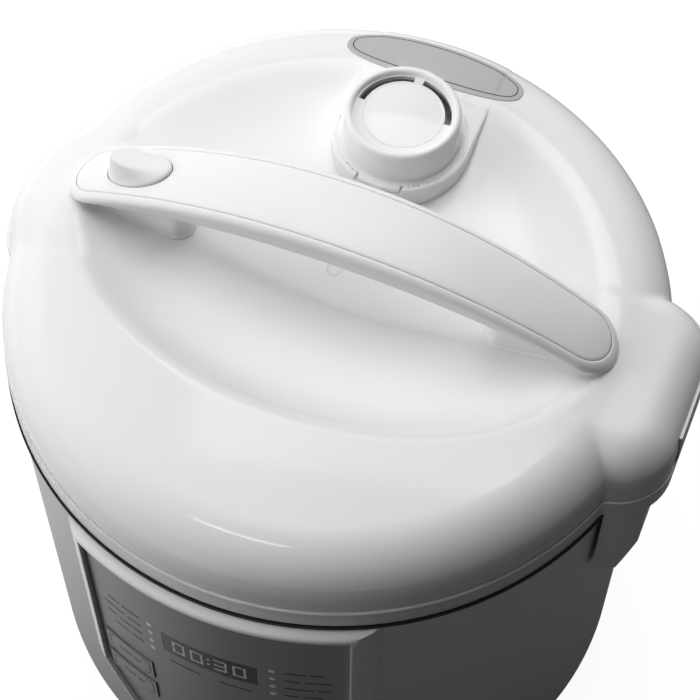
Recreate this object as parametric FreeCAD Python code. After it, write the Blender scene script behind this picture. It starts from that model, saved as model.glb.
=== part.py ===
import FreeCAD
import Part
import math
import os

from FreeCAD import Vector

# Electric pressure cooker. Millimetres and degrees. It stands on z = 0 with its axis on Z,
# the control panel looks along -Y, and the lid's handle runs along X.

# Gaps
MOVE_GAP = 0.4            # between pieces that pass each other
FIT_GAP = 0.2             # between pieces assembled into each other
PIN_GAP = 0.05            # radial, round a pin or a guided rod
CLOSE = 1e-4              # edges are told apart by this

# Foot and base
FOOT_H = 5.0
FOOT_R = 10.0
FOOT_PEG_R = 3.0
FOOT_IN = 46.0            # feet inside the shell
BASE_T = 3.0
UNDER_SPACE = 36.0        # room for the electrics between base cover and outer pot
FOOT_ANGLES = (45.0, 135.0, 225.0, 315.0)
BASE_SCREW_TURN = 45.0    # base screws half way between the feet
SLOT_COUNT = 5
SLOT_PITCH = 7.2
SLOT_W = 2.4
SLOT_L = 70.0

# Heater
STANDOFF = 4.8
HEATER_T = 12.0
HEATER_IN = 25.0          # heater inside the inner pot's wall
HEATER_HOLE_R = 17.0
LEG_R = 5.0
LEG_IN = 25.0             # heater legs inside the heater's edge
LEG_ANGLES = (90.0, 210.0, 330.0)
TERMINAL_R = 3.0
TERMINAL_Y = 32.0
TERMINAL_DROP = 10.0
TERMINAL_HOLE_R = 6.0

# Temperature sensor in the heater's middle
SENSOR_R = 14.0
SENSOR_CAP_T = 6.0
SENSOR_STEM_R = 4.0
SENSOR_CLIP_R = 6.5
SENSOR_CLIP_T = 1.2
SENSOR_COIL_R = 7.0

# Inner pot
POT_R = 110.0
POT_H = 160.0
POT_WALL = 1.8
POT_CORNER = 18.0
POT_RIM_W = 4.0
POT_RIM_T = 2.0

# Outer pot and its lug lip
SHEET = 1.2
POT_GAP = 1.2
LEDGE_DROP = 0.5          # ledge below the inner pot's rim
LUG_COUNT = 6
LUG_DEPTH = 6.0
LUG_CLEAR = 1.0           # lip's lugs outside the inner pot's rim
LIP_ANGLE = 30.0
LIP_T = 2.5
LUG_GAP = 0.5             # height between lip and lid lugs
FLANGE_W = 10.8

# Top ring, ears and side handles
CHANNEL_W = 6.5
BAND_T = 2.5
BAND_H = 10.5
RING_LIP = 9.5            # ring line above the lid's steel plate
RING_FLANGE_T = 3.0
SPIGOT_T = 2.0
SPIGOT_H = 6.0
SEAM_H = 1.8              # dark groove between shell and band
SEAM_DEPTH = 1.4
EAR_OUT = 14.0            # right ear beyond the ring
EAR_HALF_W = 46.0
EAR_CORNER = 26.0
LEFT_EAR_OUT = 9.0        # left ear, which has no stop wall and is smaller
LEFT_EAR_HALF_W = 36.0
LEFT_EAR_CORNER = 29.0
STOP_Y = -15.0            # front end of the right ear's stop wall
STOP_H = 16.0
HOLD_H = 52.0
HOLD_INSET = 1.0
HOLD_TOE = 10.0           # how far the side handle's outer face slopes in
HOLD_WALL = 11.0
LEFT_HOLD_TOE = 5.0
LEFT_HOLD_WALL = 14.0
HOLD_LIP = 19.0
HOLD_GAP = 1.5            # side handle clear of the shell beside its pad
HOLD_PAD_W = 28.0
HOLD_SCREW_Y = 18.0

# Shell
SHELL_T = 1.0
SHELL_STEP = 1.0          # shell inside the band's radius
BEND_R = 22.0
SHELL_FLANGE = 12.0
BASE_SCREW_IN = 7.0       # base screws inside the base cover's edge

# Control panel
PANEL_DROP = 14.0         # panel's top below the ring line
PANEL_H = 170.0
PANEL_HALF_W = 70.0
PANEL_FOOT_HALF_W = 45.0
PANEL_TAPER_H = 44.0
PANEL_RIM_W = 4.5
PANEL_RIM_T = 5.0
TRAY_T = 1.6
FACE_T = 1.8
BAR_H = 16.0
BAR_ROUND = 4.5
PROUD = 6.5               # panel bar and power inlet beyond the shell
KEY_W = 26.0
KEY_H = 17.0
KEY_PROUD = 0.8
KEY_GAP = 0.25
KEY_TRAVEL = 0.5
KEY_STEM = 5.0
KEY_X = 43.0
KEY_ROWS = (-108.0, -131.0)
START_X = 17.0
START_ROW = -156.0
DISPLAY_HALF_W = 21.5
DISPLAY_H = 18.0
DISPLAY_ROW = -66.0
DISPLAY_DEPTH = 4.0       # display module behind the face
LIGHT_R = 1.4
LIGHT_X = 28.0
LIGHT_ROWS = (-57.0, -65.0, -73.0, -81.0)
BOARD_DEPTH = 15.0        # control board behind the shell's front
BOARD_T = 1.6
BOARD_HALF_W = 50.0
BOARD_ROWS = (-45.0, -168.0)
WINDOW_IN = 11.0          # shell's window inside the panel's outline
POST_R = 3.2
POST_PLACES = ((45.5, -51.0), (38.0, -143.6))
SCREW_R = 1.2
SCREW_HEAD_R = 2.6
SCREW_HEAD_T = 1.6
SWITCH_W = 6.0
SWITCH_H = 3.5

# Power inlet at the back
INLET_Z = 50.0
INLET_W = 28.0
INLET_H = 21.0
INLET_FLANGE = 4.0
INLET_DEPTH = 22.0
INLET_WALL = 2.0
INLET_RECESS = 18.0
INLET_PIN_L = 12.0
INLET_PIN_W = 4.0
INLET_PIN_T = 2.0
INLET_PIN_X = 7.0
INLET_PIN_Z = 3.0

# Electrics under the outer pot
SUPPLY_X = -52.0
SUPPLY_W = 70.0
SUPPLY_L = 84.0
SUPPLY_RISE = 6.0
SUPPLY_POST_R = 3.0
SUPPLY_POST_IN = 6.0
RELAY_W = 18.0
RELAY_L = 14.0
RELAY_H = 15.0
CORE_W = 28.0
CORE_L = 22.0
CORE_H = 18.0
SMALL_CAN_R = 5.0
SMALL_CAN_H = 16.0
SMALL_CAN_IN = 10.0
LARGE_CAN_R = 6.5
LARGE_CAN_H = 19.0
LARGE_CAN_IN = 11.0
CUTOUT_X = 45.0
CUTOUT_Y = 40.0
CUTOUT_R = 7.0
CUTOUT_H = 5.0
BLADE_L = 26.0
BLADE_W = 6.0
BLADE_T = 1.2
PRESSURE_X = 55.0
PRESSURE_Y = -30.0
PRESSURE_L = 20.0
PRESSURE_W = 12.0
PRESSURE_H = 11.0
PRESSURE_FOOT_T = 2.0
PLUNGER_R = 2.5
PLUNGER_H = 4.0

# Lid's steel parts
PLATE_T = 1.5
PLATE_EDGE = 1.5          # plate inside the ring's band
SKIRT_T = 1.5
SKIRT_GAP = 0.8           # skirt inside the lip's lugs
LID_LUG_ANGLE = 25.0
LID_LUG_T = 4.0
LID_LUG_GAP = 0.6
SEAL_H = 9.6
SEAL_W = 9.0
SEAL_LIP = 4.5
HOLDER_T = 1.0
HOLDER_BITE = 4.5
HOLDER_POST_R = 6.0
KNOB_R = 12.0
KNOB_H = 9.0
KNOB_GRIP_R = 3.0

# Lid cover
RING_GAP = 0.5            # lid's edge above the ring
LID_WALL = 2.5
SKIRT_H = 5.0
SHOULDER_R = 27.0
DOME_R = 800.0
LOBE_IN = 60.0            # lobes start inside the dome
LOBE_ROUND = 18.0
LOBE_TANGENT_IN = 37.0    # lobes' top leaves the dome inside the ring
LEFT_LOBE_OUT = 4.5       # left lobe beyond the ring
LEFT_LOBE_HALF_W = 38.0
LEFT_LOBE_CORNER = 31.0
DISH_SIDE_IN = 35.0       # dish inside the ring, at its sides, front and back
DISH_FRONT_IN = 71.0
DISH_BACK_IN = 39.0
DISH_DEPTH = 17.0
DISH_Z = 37.0             # dish's widest level above the ring line
PLATFORM_R = 30.5
PLATFORM_Z = 33.0
PLATFORM_RECESS = 2.5
BADGE_IN = 25.0           # badge's middle inside the ring
BADGE_HALF_L = 39.0
BADGE_HALF_W = 12.5
BADGE_T = 0.6

# Steam valve
VALVE_IN = 68.0           # valve's axis inside the ring
VALVE_HOLE_R = 14.0
VENT_R = 5.0
VENT_BORE_R = 2.0
VENT_FOOT_R = 9.0
VENT_FOOT_T = 2.5
VENT_NUT_R = 8.0
VENT_NUT_H = 5.0
NUT_SIDES = 6
VENT_TOP = 30.5           # nozzle's top above the plate
WEIGHT_R = 10.0
WEIGHT_BORE_R = 6.2
WEIGHT_H = 22.0
WEIGHT_GAP = 1.0          # weight above the lever's eye
SHIELD_R = 13.0
SHIELD_T = 1.5
SHIELD_H = 10.0
SHIELD_SLOTS = 3
CAP_FLANGE_R = 27.6
CAP_FLANGE_T = 2.0
CAP_R = 25.0
CAP_FOOT_R = 25.6
CAP_WALL = 3.0
CAP_H = 16.0
CAP_SINK = 2.0            # disc below the cap's top edge
CAP_DISC_T = 2.5
CAP_SLOT_W = 2.2
CAP_SLOT_ARC = 78.0
CAP_SLOT_BRIDGE = 8.0
TAB_HALF_W = 10.0
TAB_OUT = 2.2

# Float valve
FLOAT_X = 48.0
FLOAT_Y = 52.0
FLOAT_R = 2.5
FLOAT_HEAD_R = 6.5
FLOAT_HEAD_T = 3.0
FLOAT_TOP = 10.5          # pin's top above the plate
FLOAT_TRAVEL = 5.0
BUSH_NECK_R = 4.0
BUSH_R = 6.5
BUSH_FOOT = 1.5
BUSH_HEAD = 2.5

# Bow handle
HANDLE_IN = 21.0          # handle's ends inside the ring
HANDLE_END_R = 15.0
HANDLE_HALF_W = 18.5
HANDLE_TOP_Z = 72.0       # heights above the ring line
HANDLE_END_Z = 38.0
HANDLE_UNDER_Z = 60.0
HANDLE_TIP_Z = 32.5
COVER_T = 2.5
COVER_INSET = 3.3
LEG_END = 13.0            # leg inside the handle's end
LEG_L = 42.0
LEG_HALF_W = 7.5
HANDLE_SCREW_R = 2.5
HANDLE_SCREW_HEAD_R = 4.0
HANDLE_SCREW_HEAD_T = 3.0
HANDLE_SCREW_SEAT = 42.0
HANDLE_SCREW_L = 32.0
PILLAR_R = 4.5

# Steam release
BUTTON_IN = 33.0          # button's middle inside the handle's end
BUTTON_HALF_L = 14.5
BUTTON_HALF_W = 9.0
BUTTON_TOP_Z = 62.0
BUTTON_ROUND = 5.0
BUTTON_SEAT = 4.0         # button's underside below the handle's top
BUTTON_TRAVEL = 3.0
ROD_R = 2.5
COLLAR_R = 4.5
COLLAR_T = 2.0
COLLAR_Z = 43.0
SPRING_BORE_R = 5.2
SPRING_FLOOR_Z = 31.0
BUTTON_COIL_R = 4.1
WIRE_R = 0.5
SPRING_TURNS = 4.0
LEVER_Z = 14.5            # lever's underside above the plate
LEVER_T = 3.0
LEVER_HALF_W = 4.0
LEVER_PAD_R = 6.0
LEVER_EYE_R = 10.0
LEVER_EYE_BORE_R = 6.6
LEVER_PIN_R = 1.5
LEVER_HUB_R = 3.6
CHEEK_T = 1.5
CHEEK_HALF_L = 6.0
BRACKET_T = 1.5

# Heights worked out upwards from the foot
BASE_TOP = FOOT_H + BASE_T
HOUSING_Z = BASE_TOP + UNDER_SPACE
HEATER_Z = HOUSING_Z + SHEET + STANDOFF
POT_Z = HEATER_Z + HEATER_T
RIM_Z = POT_Z + POT_H
RIM_TOP = RIM_Z + POT_RIM_T
SEAL_Z = RIM_TOP + MOVE_GAP
PLATE_Z = SEAL_Z + SEAL_H
PLATE_TOP = PLATE_Z + PLATE_T
RING_Z = PLATE_TOP + RING_LIP
LIP_TOP = PLATE_Z - LUG_GAP
LIP_Z = LIP_TOP - LIP_T
LUG_TOP = LIP_Z - LUG_GAP
LUG_Z = LUG_TOP - LID_LUG_T
FLANGE_Z = LIP_TOP - SHEET
LEDGE_Z = RIM_Z - LEDGE_DROP
SEAM_Z = RING_Z - BAND_H
SHELL_TOP = SEAM_Z - SEAM_H
LID_Z = RING_Z + RING_GAP
HOLDER_Z = SEAL_Z + SEAL_LIP
PLATFORM_TOP = RING_Z + PLATFORM_Z
CAP_Z = PLATFORM_TOP - PLATFORM_RECESS
CAP_TOP = PLATFORM_TOP + CAP_H
LEVER_LOW = PLATE_TOP + LEVER_Z
LEVER_TOP = LEVER_LOW + LEVER_T
WEIGHT_Z = LEVER_TOP + WEIGHT_GAP
PANEL_TOP = RING_Z - PANEL_DROP
BAR_Z = PANEL_TOP - BAR_H

# Radii worked out outwards from the inner pot
HOUSING_R = POT_R + POT_GAP
RIM_R = POT_R + POT_RIM_W
LIP_R = RIM_R + LUG_CLEAR
CHAMBER_R = LIP_R + LUG_DEPTH
FLANGE_R = CHAMBER_R + SHEET + FLANGE_W
BAND_R = FLANGE_R + CHANNEL_W
RING_R = BAND_R + BAND_T
SHELL_R = RING_R - SHELL_STEP
SHELL_IN = SHELL_R - SHELL_T
BEND_END_R = SHELL_R - BEND_R
BASE_R = BEND_END_R - FIT_GAP
SKIRT_R = LIP_R - SKIRT_GAP
PLATE_R = BAND_R - PLATE_EDGE
BASE_SCREW_CIRCLE = BASE_R - BASE_SCREW_IN
FACE_R = SHELL_R + TRAY_T + FACE_T
BOARD_FRONT = -(SHELL_R - BOARD_DEPTH)
FOOT_CIRCLE = SHELL_R - FOOT_IN
HEATER_R = POT_R - HEATER_IN
LEG_CIRCLE = HEATER_R - LEG_IN
FAR = 4.0 * SHELL_R       # longer than the cooker

# Places on the lid and ring, worked out inwards and outwards from the ring
EAR_X = RING_R + EAR_OUT
LEFT_EAR_X = RING_R + LEFT_EAR_OUT
LEFT_LOBE_X = RING_R + LEFT_LOBE_OUT
LOBE_TANGENT = RING_R - LOBE_TANGENT_IN
DISH_SIDE = RING_R - DISH_SIDE_IN
DISH_FRONT = RING_R - DISH_FRONT_IN
DISH_BACK = RING_R - DISH_BACK_IN
BADGE_Y = RING_R - BADGE_IN
VALVE_Y = RING_R - VALVE_IN
HANDLE_X = RING_R - HANDLE_IN
LEG_OUT_X = HANDLE_X - LEG_END
LEG_IN_X = LEG_OUT_X - LEG_L
BUTTON_X = BUTTON_IN - HANDLE_X


def save(name, shape):
    """Write one sub-part, as one solid or as a group of solids."""
    shape = shape.removeSplitter()
    solids = shape.Solids
    result = solids[0] if len(solids) == 1 else Part.makeCompound(solids)
    result.exportStep("parts/%s.step" % name)
    print("%-20s solids %d valid %s volume %.1f" % (name, len(solids), result.isValid(), result.Volume))
    return result


def disc(radius, low, high, x=0.0, y=0.0):
    return Part.makeCylinder(radius, high - low, Vector(x, y, low))


def ring(inner, outer, low, high, x=0.0, y=0.0):
    return disc(outer, low, high, x, y).cut(disc(inner, low, high, x, y))


def block(x0, x1, y0, y1, z0, z1):
    return Part.makeBox(x1 - x0, y1 - y0, z1 - z0, Vector(x0, y0, z0))


def box_on(x, y, along_x, along_y, low, high):
    """Block about an upright line, between two levels."""
    return block(x - along_x / 2, x + along_x / 2, y - along_y / 2, y + along_y / 2, low, high)


def rod_y(radius, x, z, y0, y1):
    """Round bar along Y."""
    return Part.makeCylinder(radius, y1 - y0, Vector(x, y0, z), Vector(0, 1, 0))


def spun(edges):
    """Turn a closed outline in the XZ plane about Z."""
    face = Part.Face(Part.Wire(edges))
    return face.revolve(Vector(0, 0, 0), Vector(0, 0, 1), 360)


def lines(points):
    """Straight edges through (radius, height) points."""
    corners = [Vector(r, 0, z) for r, z in points]
    return [Part.makeLine(a, b) for a, b in zip(corners[:-1], corners[1:])]


def turned(points):
    return spun(lines(points + points[:1]))


def arc(a, b, c):
    return Part.Arc(Vector(*a), Vector(*b), Vector(*c)).toShape()


def sector(inner, outer, low, high, middle, width):
    """Part of a ring, as wide as an angle, about a middle angle."""
    piece = Part.makeCylinder(outer, high - low, Vector(0, 0, low), Vector(0, 0, 1), width)
    piece = piece.cut(disc(inner, low, high))
    piece.rotate(Vector(0, 0, 0), Vector(0, 0, 1), middle - width / 2.0)
    return piece


def joined(shapes):
    result = shapes[0]
    for shape in shapes[1:]:
        result = result.fuse(shape)
    return result


def without(shape, cutters):
    for cutter in cutters:
        shape = shape.cut(cutter)
    return shape


def half_turn(shape):
    other = shape.copy()
    other.rotate(Vector(0, 0, 0), Vector(0, 0, 1), 180)
    return other


def on_circle(radius, angle):
    return radius * math.cos(math.radians(angle)), radius * math.sin(math.radians(angle))


def oval(half_x, half_y, low, high, x=0.0, y=0.0):
    """Upright prism with an elliptical plan, the longer half-axis along X."""
    edge = Part.Ellipse(Vector(x, y, low), half_x, half_y).toShape()
    return Part.Face(Part.Wire([edge])).extrude(Vector(0, 0, high - low))


def coil(radius, low, high, x=0.0):
    """Compression spring of round wire that stands between two levels."""
    height = high - low - 2.0 * WIRE_R
    path = Part.makeHelix(height / SPRING_TURNS, height, radius)
    section = Part.Wire([Part.makeCircle(WIRE_R, Vector(radius, 0, 0), Vector(0, 1, 0))])
    spring = Part.Wire(path.Edges).makePipeShell([section], True, True)
    spring.translate(Vector(x, 0, low + WIRE_R))
    return spring


# Body: foot and electrics

def make_feet():
    feet = []
    for angle in FOOT_ANGLES:
        x, y = on_circle(FOOT_CIRCLE, angle)
        feet.append(disc(FOOT_R, 0, FOOT_H, x, y).fuse(disc(FOOT_PEG_R, FOOT_H, BASE_TOP, x, y)))
    return Part.makeCompound(feet)


def base_screw_places():
    return [on_circle(BASE_SCREW_CIRCLE, angle + BASE_SCREW_TURN) for angle in FOOT_ANGLES]


def supply_posts():
    half_w = SUPPLY_W / 2.0 - SUPPLY_POST_IN
    half_l = SUPPLY_L / 2.0 - SUPPLY_POST_IN
    return [(SUPPLY_X + sx * half_w, sy * half_l) for sx in (-1, 1) for sy in (-1, 1)]


def make_base_cover():
    cover = disc(BASE_R, FOOT_H, BASE_TOP)
    for x, y in supply_posts():
        cover = cover.fuse(disc(SUPPLY_POST_R, BASE_TOP, BASE_TOP + SUPPLY_RISE, x, y))
    cutters = [disc(FOOT_PEG_R, FOOT_H, BASE_TOP, *on_circle(FOOT_CIRCLE, angle)) for angle in FOOT_ANGLES]
    for x, y in base_screw_places():
        cutters.append(disc(SCREW_R + FIT_GAP, FOOT_H, BASE_TOP, x, y))
        cutters.append(disc(SCREW_HEAD_R + FIT_GAP, FOOT_H, FOOT_H + SCREW_HEAD_T, x, y))
    for row in range(SLOT_COUNT):
        x = -SUPPLY_X + (row - (SLOT_COUNT - 1) / 2.0) * SLOT_PITCH
        cutters.append(block(x - SLOT_W / 2, x + SLOT_W / 2, -SLOT_L / 2, SLOT_L / 2, FOOT_H, BASE_TOP))
    return without(cover, cutters)


def make_base_screws():
    screws = []
    tip = BASE_TOP + SHELL_T + 2.0 * SCREW_HEAD_T
    for x, y in base_screw_places():
        head = disc(SCREW_HEAD_R, FOOT_H, FOOT_H + SCREW_HEAD_T, x, y)
        screws.append(head.fuse(disc(SCREW_R, FOOT_H + SCREW_HEAD_T, tip, x, y)))
    return Part.makeCompound(screws)


def make_power_board():
    low = BASE_TOP + SUPPLY_RISE
    return box_on(SUPPLY_X, 0.0, SUPPLY_W, SUPPLY_L, low, low + BOARD_T)


def make_board_components():
    """Relay, transformer and two capacitors on the power board."""
    low = BASE_TOP + SUPPLY_RISE + BOARD_T
    quarter = SUPPLY_L / 4.0
    relay = box_on(SUPPLY_X, quarter, RELAY_W, RELAY_L, low, low + RELAY_H)
    core = box_on(SUPPLY_X, -quarter, CORE_W, CORE_L, low, low + CORE_H)
    small = disc(SMALL_CAN_R, low, low + SMALL_CAN_H, SUPPLY_X - SUPPLY_W / 2 + SMALL_CAN_IN, 0)
    large = disc(LARGE_CAN_R, low, low + LARGE_CAN_H, SUPPLY_X + SUPPLY_W / 2 - LARGE_CAN_IN, 0)
    return Part.makeCompound([relay, core, small, large])


def make_thermal_cutout():
    can_low = HOUSING_Z - CUTOUT_H
    can = disc(CUTOUT_R, can_low, HOUSING_Z, CUTOUT_X, CUTOUT_Y)
    blades = box_on(CUTOUT_X, CUTOUT_Y, BLADE_L, BLADE_W, can_low - BLADE_T, can_low)
    return can.fuse(blades)


def make_pressure_switch():
    case_top = HOUSING_Z - PLUNGER_H
    case_low = case_top - PRESSURE_H
    foot_x = PRESSURE_X - (PRESSURE_L + PRESSURE_FOOT_T) / 2.0
    case = box_on(PRESSURE_X, PRESSURE_Y, PRESSURE_L, PRESSURE_W, case_low, case_top)
    plunger = disc(PLUNGER_R, case_top, HOUSING_Z, PRESSURE_X, PRESSURE_Y)
    foot = box_on(foot_x, PRESSURE_Y, PRESSURE_FOOT_T, PRESSURE_W, case_low, HOUSING_Z)
    return joined([case, plunger, foot])


def make_inlet_socket():
    back = SHELL_R - INLET_DEPTH
    front = SHELL_R + PROUD
    half_w = INLET_W / 2.0
    half_h = INLET_H / 2.0
    case = block(-half_w, half_w, back, front, INLET_Z - half_h, INLET_Z + half_h)
    flange_w = half_w + INLET_FLANGE
    flange_h = half_h + INLET_FLANGE
    flange = block(-flange_w, flange_w, SHELL_R - PROUD, front, INLET_Z - flange_h, INLET_Z + flange_h)
    flange = flange.cut(disc(SHELL_R, INLET_Z - 2 * flange_h, INLET_Z + 2 * flange_h))
    inner_w = half_w - INLET_WALL
    inner_h = half_h - INLET_WALL
    recess = block(-inner_w, inner_w, front - INLET_RECESS, front, INLET_Z - inner_h, INLET_Z + inner_h)
    return without(case.fuse(flange), [recess] + inlet_pins())


def inlet_pins():
    pins = []
    floor = SHELL_R + PROUD - INLET_RECESS
    for x, z in ((-INLET_PIN_X, -INLET_PIN_Z), (0.0, INLET_PIN_Z), (INLET_PIN_X, -INLET_PIN_Z)):
        low = INLET_Z + z - INLET_PIN_W / 2.0
        pins.append(block(x - INLET_PIN_T / 2.0, x + INLET_PIN_T / 2.0, SHELL_R - INLET_DEPTH - INLET_WALL,
                          floor + INLET_PIN_L, low, low + INLET_PIN_W))
    return pins


# Body: pots and heater

def terminal_places():
    return [(0.0, TERMINAL_Y), (0.0, -TERMINAL_Y)]


def make_heating_plate():
    plate = ring(HEATER_HOLE_R, HEATER_R, HEATER_Z, POT_Z)
    for angle in LEG_ANGLES:
        x, y = on_circle(LEG_CIRCLE, angle)
        plate = plate.fuse(disc(LEG_R, HEATER_Z - STANDOFF, HEATER_Z, x, y))
    return plate


def make_heater_terminals():
    low = HOUSING_Z - TERMINAL_DROP
    return Part.makeCompound([disc(TERMINAL_R, low, HEATER_Z, x, y) for x, y in terminal_places()])


def make_sensor_probe():
    top = POT_Z - MOVE_GAP
    cap = disc(SENSOR_R, top - SENSOR_CAP_T, top)
    clip_top = HOUSING_Z - MOVE_GAP
    clip_low = clip_top - SENSOR_CLIP_T
    stem = disc(SENSOR_STEM_R, clip_low, top - SENSOR_CAP_T)
    return joined([cap, stem, disc(SENSOR_CLIP_R, clip_low, clip_top)])


def make_sensor_spring():
    return coil(SENSOR_COIL_R, HOUSING_Z + SHEET, POT_Z - MOVE_GAP - SENSOR_CAP_T)


def pot_outline(radius, floor, top, corner):
    """Edges from the axis along a rounded bottom and up a wall."""
    middle = corner * math.sin(math.radians(45))
    centre_r = radius - corner
    centre_z = floor + corner
    bottom = Part.makeLine(Vector(0, 0, floor), Vector(centre_r, 0, floor))
    bend = arc((centre_r, 0, floor), (centre_r + middle, 0, centre_z - middle), (radius, 0, centre_z))
    wall = Part.makeLine(Vector(radius, 0, centre_z), Vector(radius, 0, top))
    return [bottom, bend, wall]


def make_inner_pot():
    outside = spun(pot_outline(POT_R, POT_Z, RIM_TOP, POT_CORNER)
                   + lines([(POT_R, RIM_TOP), (0, RIM_TOP), (0, POT_Z)]))
    inner_r = POT_R - POT_WALL
    floor = POT_Z + POT_WALL
    inside = spun(pot_outline(inner_r, floor, RIM_TOP, POT_CORNER - POT_WALL)
                  + lines([(inner_r, RIM_TOP), (0, RIM_TOP), (0, floor)]))
    return outside.fuse(disc(RIM_R, RIM_Z, RIM_TOP)).cut(inside)


def lug_angles():
    return [index * 360.0 / LUG_COUNT for index in range(LUG_COUNT)]


def make_outer_pot():
    wall_r = HOUSING_R + SHEET
    chamber_out = CHAMBER_R + SHEET
    floor_top = HOUSING_Z + SHEET
    ledge_low = LEDGE_Z - SHEET
    pot = turned([(0, HOUSING_Z), (wall_r, HOUSING_Z), (wall_r, ledge_low), (chamber_out, ledge_low),
                  (chamber_out, FLANGE_Z), (FLANGE_R, FLANGE_Z), (FLANGE_R, LIP_TOP), (CHAMBER_R, LIP_TOP),
                  (CHAMBER_R, LEDGE_Z), (HOUSING_R, LEDGE_Z), (HOUSING_R, floor_top), (0, floor_top)])
    for angle in lug_angles():
        pot = pot.fuse(sector(LIP_R, CHAMBER_R + SHEET / 2.0, LIP_Z, LIP_TOP, angle, LIP_ANGLE))
    holes = [disc(SENSOR_STEM_R + PIN_GAP, HOUSING_Z, HOUSING_Z + SHEET)]
    holes += [disc(TERMINAL_HOLE_R, HOUSING_Z, HOUSING_Z + SHEET, x, y) for x, y in terminal_places()]
    return without(pot, holes)


# Body: shell, ring and handles

def make_outer_shell():
    bend_z = BASE_TOP + BEND_R
    inner_bend = BEND_R - SHELL_T
    outer_mid = BEND_R * math.sin(math.radians(45))
    inner_mid = inner_bend * math.sin(math.radians(45))
    flange_in = BEND_END_R - SHELL_FLANGE
    edges = [
        arc((SHELL_R, 0, bend_z), (BEND_END_R + outer_mid, 0, bend_z - outer_mid), (BEND_END_R, 0, BASE_TOP)),
        arc((BEND_END_R, 0, BASE_TOP + SHELL_T), (BEND_END_R + inner_mid, 0, bend_z - inner_mid),
            (SHELL_IN, 0, bend_z)),
    ]
    edges += lines([(BEND_END_R, BASE_TOP), (flange_in, BASE_TOP), (flange_in, BASE_TOP + SHELL_T),
                    (BEND_END_R, BASE_TOP + SHELL_T)])
    edges += lines([(SHELL_IN, bend_z), (SHELL_IN, SHELL_TOP), (SHELL_R, SHELL_TOP), (SHELL_R, bend_z)])
    shell = spun(Part.sortEdges(edges)[0])
    window = panel_outline(WINDOW_IN, BAR_Z)
    inlet = block(-INLET_W / 2 - FIT_GAP, INLET_W / 2 + FIT_GAP, 0, FAR,
                  INLET_Z - INLET_H / 2 - FIT_GAP, INLET_Z + INLET_H / 2 + FIT_GAP)
    holes = [disc(SCREW_R, BASE_TOP, BASE_TOP + SHELL_T, x, y) for x, y in base_screw_places()]
    holes += [side_screw_bore(side, y) for side in (-1, 1) for y in (-HOLD_SCREW_Y, HOLD_SCREW_Y)]
    return without(shell, [window, inlet] + holes)


def dome_centre():
    """Height of the dome's centre, so that it is tangent to the shoulder."""
    shoulder_z = LID_Z + SKIRT_H
    return shoulder_z - math.sqrt((DOME_R - SHOULDER_R) ** 2 - (RING_R - SHOULDER_R) ** 2)


def dome_height(radius):
    return dome_centre() + math.sqrt(DOME_R ** 2 - radius ** 2)


def lid_dome(inset, low):
    """Solid of revolution under the lid's skin, or under the skin's inside."""
    shoulder_z = LID_Z + SKIRT_H
    shoulder_c = RING_R - SHOULDER_R
    wall_r = RING_R - inset
    bend = SHOULDER_R - inset
    centre = dome_centre()
    lean = math.asin(shoulder_c / (DOME_R - SHOULDER_R))
    tangent = (shoulder_c + bend * math.sin(lean), 0, shoulder_z + bend * math.cos(lean))
    half = (math.radians(90) - lean) / 2.0
    middle = (shoulder_c + bend * math.cos(half), 0, shoulder_z + bend * math.sin(half))
    dome = DOME_R - inset
    dome_mid = (dome * math.sin(lean / 2.0), 0, centre + dome * math.cos(lean / 2.0))
    apex = (0, 0, centre + dome)
    edges = lines([(0, low), (wall_r, low), (wall_r, shoulder_z)])
    edges += [arc((wall_r, 0, shoulder_z), middle, tangent), arc(tangent, dome_mid, apex)]
    edges.append(Part.makeLine(Vector(*apex), Vector(0, 0, low)))
    return spun(edges)


def upright_edges(shape, x):
    """Edges along Z on the side of a shape at an X."""
    found = []
    for edge in shape.Edges:
        ends = edge.Vertexes
        if all(abs(end.X - x) < CLOSE for end in ends) and abs(ends[0].Y - ends[-1].Y) < CLOSE:
            found.append(edge)
    return found


def ear_lobe(out_x, half_w, corner):
    """Full form of an ear on the right, from the ring's seam to the lobe's rounded top."""
    slope = LOBE_TANGENT / math.sqrt(DOME_R ** 2 - LOBE_TANGENT ** 2)
    top_in = dome_height(LOBE_TANGENT) + slope * (LOBE_TANGENT - LOBE_IN)
    top_out = dome_height(LOBE_TANGENT) - slope * (out_x - LOBE_TANGENT)
    corners = [Vector(x, -half_w, z) for x, z in
               ((LOBE_IN, SEAM_Z), (out_x, SEAM_Z), (out_x, top_out), (LOBE_IN, top_in), (LOBE_IN, SEAM_Z))]
    lobe = Part.Face(Part.makePolygon(corners)).extrude(Vector(0, 2.0 * half_w, 0))
    lobe = lobe.makeFillet(corner, upright_edges(lobe, out_x))
    rounded = []
    for edge in lobe.Edges:
        ends = [edge.valueAt(edge.FirstParameter), edge.valueAt(edge.LastParameter)]
        on_top = all(abs(p.z - (top_in - slope * (p.x - LOBE_IN))) < CLOSE for p in ends)
        if on_top and not all(abs(p.x - LOBE_IN) < CLOSE for p in ends):
            rounded.append(edge)
    return lobe.makeFillet(LOBE_ROUND, rounded)


def stop_wall(lobe):
    """Raised back part of the right ear, which stops the lid in its locked place."""
    slab = block(0, FAR, STOP_Y, EAR_HALF_W, RING_Z, RING_Z + STOP_H)
    return lobe.common(slab).cut(disc(RING_R + MOVE_GAP, RING_Z, RING_Z + STOP_H))


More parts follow.
